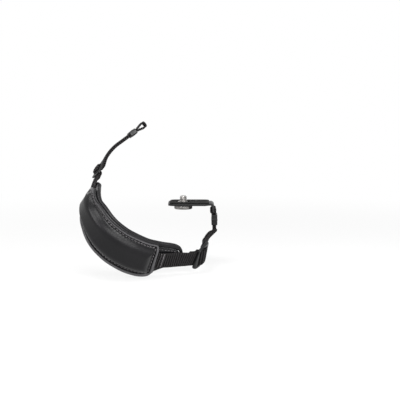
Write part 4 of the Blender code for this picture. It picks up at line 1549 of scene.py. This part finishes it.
@dataclass
class Webbing:
    """Ribbed webbing of even thickness along an (s, h) path."""

    name: str
    node: str
    path: Array
    width: float
    thickness: float
    rib_pitch: float = 0.0020
    rib_depth: float = 0.00040
    step: float = 0.00022

    def build(self, finishes: Finishes) -> None:
        """Make the webbing with rounded selvages and raised cross ribs.

        Args:
            finishes: Every material.
        """
        reach = reach_along(self.path)
        keep = np.concatenate([[True], np.diff(reach) > 1e-7])
        at = np.linspace(0, reach[-1], int(reach[-1] / self.step) + 2)
        middle = read_path(at, reach[keep], self.path[keep])
        run = unit(np.gradient(middle, at, axis=0))
        side = np.column_stack([-run[:, 1], run[:, 0]])
        outline = rounded_rectangle(self.width / 2, self.thickness / 2, self.thickness * 0.45, 3)
        section = fill_closed(outline, 0.0011)
        s, h = (middle[:, k : k + 1] + section[None, :, 1] * side[:, k : k + 1] for k in (0, 1))
        v = np.broadcast_to(section[None, :, 0], s.shape)
        along, _, outward = STRAP_ROUTE.axes(s)
        out = along * side[:, None, :1] + outward * side[:, None, 1:]
        out = out * np.sign(section[None, :, 1:])
        flat = np.abs(section[:, 0]) < self.width / 2 - self.thickness * 0.6
        shell = Shell()
        points = STRAP_ROUTE.place(s, v, h)
        rows = shell.add(points, along=at[:, None], across=v, face=flat[None, :])
        shell.bridge(rows, caps=True)
        piece = shell.finish(self.name, merge=1e-8)
        keep_values(piece.data, "out", out.reshape(-1, 3))
        tree = bpy.data.node_groups.get("webbing_ribs") or rib_tree()
        values = {"Pitch": self.rib_pitch, "Depth": self.rib_depth, "Material": finishes.webbing}
        run_tree(piece, tree, values)
        dress(piece, finishes.webbing, Body.STRAP, self.node)


@dataclass
class Straps:
    """Both webbings with their slides, keepers and sewn ends."""

    lower_thickness: float = 0.0012
    lower_width: float = 0.015
    upper_thickness: float = 0.0010
    upper_width: float = 0.010
    panel_middle: float = (0.1140 + 0.2075) / 2
    end_gap: float = 0.006
    slot_bar: float = 0.0022
    loop_below_bar: float = 0.0009
    straight_end: float = 0.0174
    keeper_at: float = 0.0096
    keeper_length: float = 0.0090
    loop_to_keeper: float = 0.0003
    small_keeper_length: float = 0.0060
    small_keeper_to_eye: float = 0.0100
    lower_tail: float = 0.006
    upper_tail: float = 0.0025
    ring_eye: float = 0.0030
    eye_taper: float = 0.0050
    eye_straight: float = 0.0027
    fold_radius: float = 0.0014
    plate_thickness: float = 0.0018
    tack_places: tuple[float, float] = (0.1078, 0.1105)
    upper_tack_place: float = 0.2110
    tack_inset: float = 0.0008
    tack_pitch: float = 0.0006

    def __post_init__(self) -> None:
        """Set out the slides."""
        self.lower_slide = SlideBuckle(
            "wide_slide",
            "lower_slide_buckle",
            centre=0.0695,
            web_width=self.lower_width,
            web_thickness=self.lower_thickness,
            thickness=0.0022,
            bar=0.0028,
            slot=0.0043,
            centre_bar=0.0020,
            centre_thickness=0.0012,
            wall=0.0022,
            corner=0.0018,
        )
        self.upper_slide = SlideBuckle(
            "narrow_slide",
            "upper_slide_buckle",
            centre=0.2290,
            web_width=self.upper_width,
            web_thickness=self.upper_thickness,
            thickness=0.0015,
            bar=0.0017,
            slot=0.0039,
            centre_bar=0.0015,
            centre_thickness=0.0010,
            wall=0.0017,
            corner=0.0013,
        )

    def build(self, finishes: Finishes) -> None:
        """Make every piece of the straps.

        Args:
            finishes: Every material.
        """
        lower = self.lower_width, self.lower_thickness
        upper = self.upper_width, self.upper_thickness
        eye_keeper = STRAP_ROUTE.length - self.ring_eye - self.small_keeper_to_eye
        wide = "wide_keeper_loop", "webbing_keeper", Body.KEEPER
        narrow = "narrow_keeper_loop", "upper_keeper", Body.SMALL_KEEPER
        for piece in (
            Webbing("ribbed_wide_webbing", "lower_webbing", self.lower_path(), *lower),
            Webbing("ribbed_narrow_webbing", "upper_webbing", self.upper_path(), *upper),
            self.lower_slide,
            self.upper_slide,
            Keeper(*wide, self.keeper_at, self.keeper_length, *lower),
            Keeper(*narrow, eye_keeper, self.small_keeper_length, *upper),
        ):
            piece.build(finishes)
        self.build_tacks(finishes)

    def lower_path(self) -> Array:
        """Lay the lower webbing: out of the pad, round the slot bar and back.

        Returns:
            Its (s, h) path.
        """
        pitch = self.lower_thickness + CLEARANCE
        around_bar = 2 * (self.plate_thickness / 2 + CLEARANCE + self.lower_thickness / 2)
        tail_end = self.lower_slide.centre + self.lower_slide.half_length + self.lower_tail
        join = self.keeper_at - self.keeper_length / 2 - self.loop_to_keeper
        middle = [(self.panel_middle - self.end_gap / 2, -pitch / 2)]
        middle += self.lower_slide.weave(pitch, -1)
        middle += [(self.straight_end, -pitch / 2), (join, -pitch / 2)]
        outer = offset_path(middle, -pitch / 2)
        inner = offset_path([(tail_end, -pitch / 2)] + middle[1:], pitch / 2)[::-1]
        top = -CLEARANCE - self.lower_thickness / 2
        below = self.slot_bar + self.loop_below_bar
        loop = [(top, 0.0), (top, -around_bar), (below, -around_bar)]
        return round_path(np.vstack([outer[:-1], loop, inner]), self.fold_radius)

    def upper_path(self) -> Array:
        """Lay the upper webbing: out of the pad, round the ring's eye and back.

        Returns:
            Its (s, h) path.
        """
        pitch = self.upper_thickness + CLEARANCE
        tail_end = self.upper_slide.centre - self.upper_slide.half_length - self.upper_tail
        end = STRAP_ROUTE.length
        middle = [(self.panel_middle + self.end_gap / 2, -pitch / 2)]
        middle += self.upper_slide.weave(pitch, 1)
        middle += [(end - self.ring_eye - self.eye_taper, -pitch / 2)]
        outer = offset_path(middle, pitch / 2)
        inner = offset_path([(tail_end, -pitch / 2)] + middle[1:], -pitch / 2)[::-1]
        high, low = ((way * (self.ring_eye + self.upper_thickness) - pitch) / 2 for way in (1, -1))
        near = end - self.eye_straight
        eye = [(near, high), (end, high), (end, low), (near, low)]
        return round_path(np.vstack([outer, eye, inner]), self.fold_radius)

    def build_tacks(self, finishes: Finishes) -> None:
        """Sew the bar tacks where the webbings go into the pad.

        Args:
            finishes: Every material.
        """
        lower = self.lower_width, self.lower_thickness
        places = [(s, *lower) for s in self.tack_places]
        places.append((self.upper_tack_place, self.upper_width, self.upper_thickness))
        rows = []
        for s, width, thickness in places:
            v = np.linspace(-1, 1, 24) * (width / 2 - self.tack_inset)
            line = np.column_stack([np.full(24, s), v, np.full(24, thickness / 2 + 0.0001)])
            rows.append(StitchRow(line, self.tack_pitch, across_row=True))
        tacks = sew("bar_tacks", rows, 0.0014, 0.00024, finishes)
        dress(tacks, finishes.thread, Body.STRAP, "lower_webbing", stands_for=False)


# ---- the tripod plate ----


@dataclass
class TripodPlate:
    """The coated plate, its rubber facing, the captive screw and its clip."""

    screw_x: float = -0.0092
    screw_radius: float = 0.003175
    thread_pitch: float = 0.00127
    thread_depth: float = 0.00045
    plate_top: float = -0.0009
    plate_bottom: float = -0.0027
    tip: float = 0.0050
    tip_taper: float = 0.0009
    head_radius: float = 0.0080
    head_thickness: float = 0.0038
    head_edge: float = 0.0005
    knurls: int = 60
    knurl_depth: float = 0.00028
    groove_radius: float = 0.0026
    clip_thickness: float = 0.0005
    coin_slot_width: float = 0.0016
    coin_slot_depth: float = 0.0016
    pip_pitch: float = 0.0019
    pip_radius: float = 0.00055
    pip_height: float = 0.00016

    def softened(self, name: str, node: str, width: float) -> Piece:
        """Copy a solid, weld it and soften its sharp edges.

        Args:
            name: The copy's name.
            node: The solid's node.
            width: The bevel's width.

        Returns:
            The copy.
        """
        mesh = bpy.data.objects[node].data.copy()
        mesh.name = name
        flat = {"angle_limit": math.radians(1)}
        with_bmesh(
            mesh,
            lambda b: bmesh.ops.dissolve_limit(b, verts=b.verts, edges=b.edges, **flat),
            merge=2e-6,
        )
        piece = link_piece(name, mesh)
        bevel = piece.modifiers.new("soft_edges", "BEVEL")
        bevel.width, bevel.segments = width, 3
        bevel.limit_method, bevel.angle_limit = "ANGLE", math.radians(35)
        bevel.harden_normals = True
        return baked(piece)

    def build(self, finishes: Finishes) -> None:
        """Make every piece of the plate.

        Args:
            finishes: Every material.
        """
        plate = self.softened("coated_tripod_plate", "base_plate", 0.00022)
        dress(plate, finishes.coated_steel, Body.STRAP, "base_plate")
        facing = self.softened("rubber_facing", "plate_pad", 0.00012)
        dress(facing, finishes.rubber, Body.STRAP, "plate_pad")
        self.build_pips(finishes)
        self.build_screw(finishes)
        clip = self.softened("spring_clip", "screw_clip", 0.00006)
        dress(clip, finishes.bare_steel, Body.SCREW, "screw_clip")

    def build_pips(self, finishes: Finishes) -> None:
        """Mould rows of low pips on the rubber facing, clear of its corners and the screw.

        Args:
            finishes: Every material.
        """
        low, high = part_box("plate_pad")
        spots = []
        pitch, margin, round_from, off_screw = self.pip_pitch, 0.002, 0.0052, 0.0072
        for row, y in enumerate(np.arange(low.y + 0.0022, high.y - margin, pitch * 0.866)):
            for x in np.arange(low.x + 0.0022 + pitch / 2 * (row % 2), high.x - margin, pitch):
                past_x = abs(x - (low.x + high.x) / 2) - (high.x - low.x) / 2 + round_from
                past = math.hypot(max(0.0, past_x), max(0.0, abs(y) - high.y + round_from))
                if past < 0.0036 and math.hypot(x - self.screw_x, y) > off_screw:
                    spots.append((x, y, high.z))
        piece = points_piece("facing_pips", spots)
        sizes = {"Radius": self.pip_radius, "Height": self.pip_height}
        run_tree(piece, pip_tree(), sizes | {"Material": finishes.rubber})
        dress(piece, finishes.rubber, Body.STRAP, "plate_pad", stands_for=False)

    def build_screw(self, finishes: Finishes) -> None:
        """Make the screw: a cut thread with a clip groove, and a knurled head with a coin slot.

        Args:
            finishes: Every material.
        """
        turns = np.linspace(0, 2 * math.pi, 2 * self.knurls, endpoint=False)
        head_top = self.plate_bottom - CLEARANCE
        head_low = head_top - self.head_thickness
        groove_low = self.plate_top + CLEARANCE / 2
        groove_high = groove_low + self.clip_thickness + CLEARANCE
        head, edge, shank = self.head_radius, self.head_edge, self.screw_radius
        zig = head - np.where(np.arange(len(turns)) % 2 == 0, 0.0, self.knurl_depth)
        rings: list[tuple[Any, float]] = [
            (1e-5, head_low),
            (head * 0.5, head_low),
            (head - edge, head_low),
            (head - self.knurl_depth, head_low + edge * 0.6),
            (zig, head_low + edge),
            (zig, head_top - edge),
            (head - edge, head_top),
            (shank, head_top),
            (shank, groove_low),
            (self.groove_radius, groove_low),
            (self.groove_radius, groove_high),
        ]
        for z in np.linspace(groove_high, self.tip, 64):
            phase = (z / self.thread_pitch - turns / (2 * math.pi)) % 1.0
            cut = self.thread_depth * np.clip(1.15 * (1 - np.abs(2 * phase - 1)) * 1.2 - 0.15, 0, 1)
            fade = smooth((z - groove_high) / 0.0005)
            lead_in = self.tip_taper * smooth((z - self.tip + 0.0010) / 0.0010)
            rings.append((shank - cut * fade - lead_in, z))
        rings.append((1e-5, self.tip))
        shell = Shell()
        rows = []
        for radius, z in rings:
            x, y = self.screw_x + radius * np.cos(turns), radius * np.sin(turns)
            rows.append(shell.add(np.column_stack([x, y, np.full(len(turns), float(z))])))
        shell.bridge(rows)
        screw = shell.finish("captive_tripod_screw", merge=3e-5)
        self.cut_coin_slot(screw, head_low)
        screw.data.set_sharp_from_angle(angle=math.radians(40))
        dress(screw, finishes.bare_steel, Body.SCREW, "tripod_screw")

    def cut_coin_slot(self, screw: Piece, head_low: float) -> None:
        """Cut the coin slot across the head's outer face.

        Args:
            screw: The screw, changed in place.
            head_low: Height of the head's outer face.
        """
        size = (self.head_radius * 3, self.coin_slot_width, 2 * self.coin_slot_depth)
        build = bmesh.new()
        bmesh.ops.create_cube(build, size=1.0)
        for vert in build.verts:
            vert.co = Vector((self.screw_x, 0.0, head_low)) + vert.co * Vector(size)
        mesh = bpy.data.meshes.new("coin_slot_tool")
        build.to_mesh(mesh)
        build.free()
        tool = placed("coin_slot_tool", mesh)
        slot = screw.modifiers.new("coin_slot", "BOOLEAN")
        slot.operation, slot.object = "DIFFERENCE", tool
        baked(screw)
        bpy.data.objects.remove(tool)
        bpy.data.meshes.remove(mesh)


# ---- studio ----


@dataclass(frozen=True)
class Softbox:
    """A rectangular lamp that faces a point; its power is in watts."""

    name: str
    place: Triple
    aim: Triple
    width: float
    depth: float
    power: float

    def build(self) -> None:
        """Add the lamp."""
        data = bpy.data.lights.new(self.name, "AREA")
        data.shape = "RECTANGLE"
        data.size, data.size_y, data.energy = self.width, self.depth, self.power
        lamp = placed(self.name, data)
        lamp.location = self.place
        look = Vector(self.aim) - Vector(self.place)
        lamp.rotation_euler = look.to_track_quat("-Z", "Y").to_euler()


@dataclass
class Studio:
    """The pale floor, the white surround, the lamps and the camera."""

    floor_z: float
    aim: Triple = (0.0056, 0.0, 0.0010)
    distance: float = 0.885
    elevation: float = 6.5
    lens: float = 90.0
    fill: float = 0.35
    floor_reach: float = 3.0
    lamps: tuple[Softbox, ...] = (
        Softbox("overhead_softbox", (-0.15, -0.25, 0.65), (-0.06, -0.06, 0.0), 0.5, 0.3, 2.8),
        Softbox("front_softbox", (0.30, -0.56, 0.24), (-0.06, -0.08, 0.0), 0.54, 0.28, 5.5),
        Softbox("left_softbox", (-0.42, -0.66, 0.16), (-0.08, -0.07, 0.02), 0.40, 0.30, 2.6),
        Softbox("back_softbox", (-0.5, 0.7, 0.5), (-0.03, 0.0, 0.0), 0.4, 0.4, 1.2),
    )

    def build(self) -> None:
        """Make the floor, surround, lamps and camera."""
        bpy.context.scene.view_settings.view_transform = "Standard"
        self.build_world()
        self.build_floor()
        for lamp in self.lamps:
            lamp.build()
        self.build_camera()

    def build_world(self) -> None:
        """Make the surround: white to the camera and in reflections, plain fill light elsewhere."""
        world = bpy.data.worlds.new("white_surround")
        bpy.context.scene.world = world
        world.use_nodes = True
        tree = world.node_tree
        tree.nodes.clear()
        shares = {"Value": self.seen_ray(tree), "To Min": self.fill, "To Max": 1.0}
        light = {"Color": (1.0, 1.0, 1.0, 1.0), "Strength": add_node(tree, MAP, shares)}
        surround = add_node(tree, "ShaderNodeBackground", light)
        add_node(tree, "ShaderNodeOutputWorld", {"Surface": surround})

    def seen_ray(self, tree: Tree) -> bpy.types.Node:
        """Find the rays that see a surface directly or mirrored.

        Args:
            tree: Gets the nodes.

        Returns:
            A node that gives one on camera, glossy and transmission rays.
        """
        path = add_node(tree, "ShaderNodeLightPath").outputs
        seen = path["Is Camera Ray"]
        for ray in ("Is Glossy Ray", "Is Transmission Ray"):
            seen = add_node(tree, MATH, {0: seen, 1: path[ray]}, operation="MAXIMUM")
        return seen

    def build_floor(self) -> None:
        """Make the pale floor, which keeps a soft shadow and turns white away from it."""
        mesh = bpy.data.meshes.new("pale_floor")
        corners = [(x, y, self.floor_z) for x, y in ((-1, -1), (1, -1), (1, 1), (-1, 1))]
        wide = [(x * self.floor_reach, y * self.floor_reach, z) for x, y, z in corners]
        mesh.from_pydata(wide, [], [(0, 1, 2, 3)])
        floor = placed("pale_floor", mesh)
        material = bpy.data.materials.new("pale_floor_paint")
        material.use_nodes = True
        tree = material.node_tree
        tree.nodes.clear()
        where = add_node(tree, "ShaderNodeTexCoord").outputs["Object"]
        reach = add_node(tree, "ShaderNodeVectorMath", {0: where}, operation="LENGTH")
        fade = {"Value": reach.outputs["Value"], "From Min": 0.15, "From Max": 0.6}
        fade |= {"To Min": 0.74, "To Max": 1.0}
        fade = add_node(tree, MAP, fade, interpolation_type="SMOOTHSTEP")
        share = add_node(tree, MATH, {0: self.seen_ray(tree), 1: fade}, operation="MULTIPLY")
        paint = add_node(tree, "ShaderNodeBsdfDiffuse", {"Color": (0.88, 0.88, 0.88, 1.0)})
        white = {"Color": (1.0, 1.0, 1.0, 1.0), "Strength": 1.0}
        white = add_node(tree, "ShaderNodeEmission", white)
        mixed = add_node(tree, "ShaderNodeMixShader", {0: share, 1: paint, 2: white})
        add_node(tree, "ShaderNodeOutputMaterial", {"Surface": mixed})
        mesh.materials.append(material)
        floor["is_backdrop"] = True

    def build_camera(self) -> None:
        """Set the camera in front of the strap and a little above it."""
        tilt = math.radians(self.elevation)
        back = Vector((0.0, -math.cos(tilt), math.sin(tilt)))
        data = bpy.data.cameras.new("photo_camera")
        data.lens, data.sensor_width = self.lens, 36.0
        data.clip_start, data.clip_end = 0.01, 20.0
        camera = placed("photo_camera", data)
        camera.location = Vector(self.aim) + back * self.distance
        camera.rotation_euler = (-back).to_track_quat("-Z", "Y").to_euler()
        bpy.context.scene.camera = camera


def plain_bounds() -> list[list[float]]:
    """Return the shown object's lowest and highest corners as plain lists."""
    return [[float(value) for value in corner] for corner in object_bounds()]


def main() -> None:
    """Load the frame and build every piece."""
    logging.basicConfig(level=logging.INFO, format="%(name)s: %(message)s")
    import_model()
    sizes = {"cad": plain_bounds()}
    finishes = Finishes()
    pad = Pad()
    pad.build_panel(finishes)
    pad.build_inner_pad(finishes)
    Straps().build(finishes)
    TripodPlate().build(finishes)
    sizes["visual"] = plain_bounds()
    Studio(floor_z=sizes["visual"][0][2] - FLOOR_GAP).build()


if __name__ == "__main__":
    main()
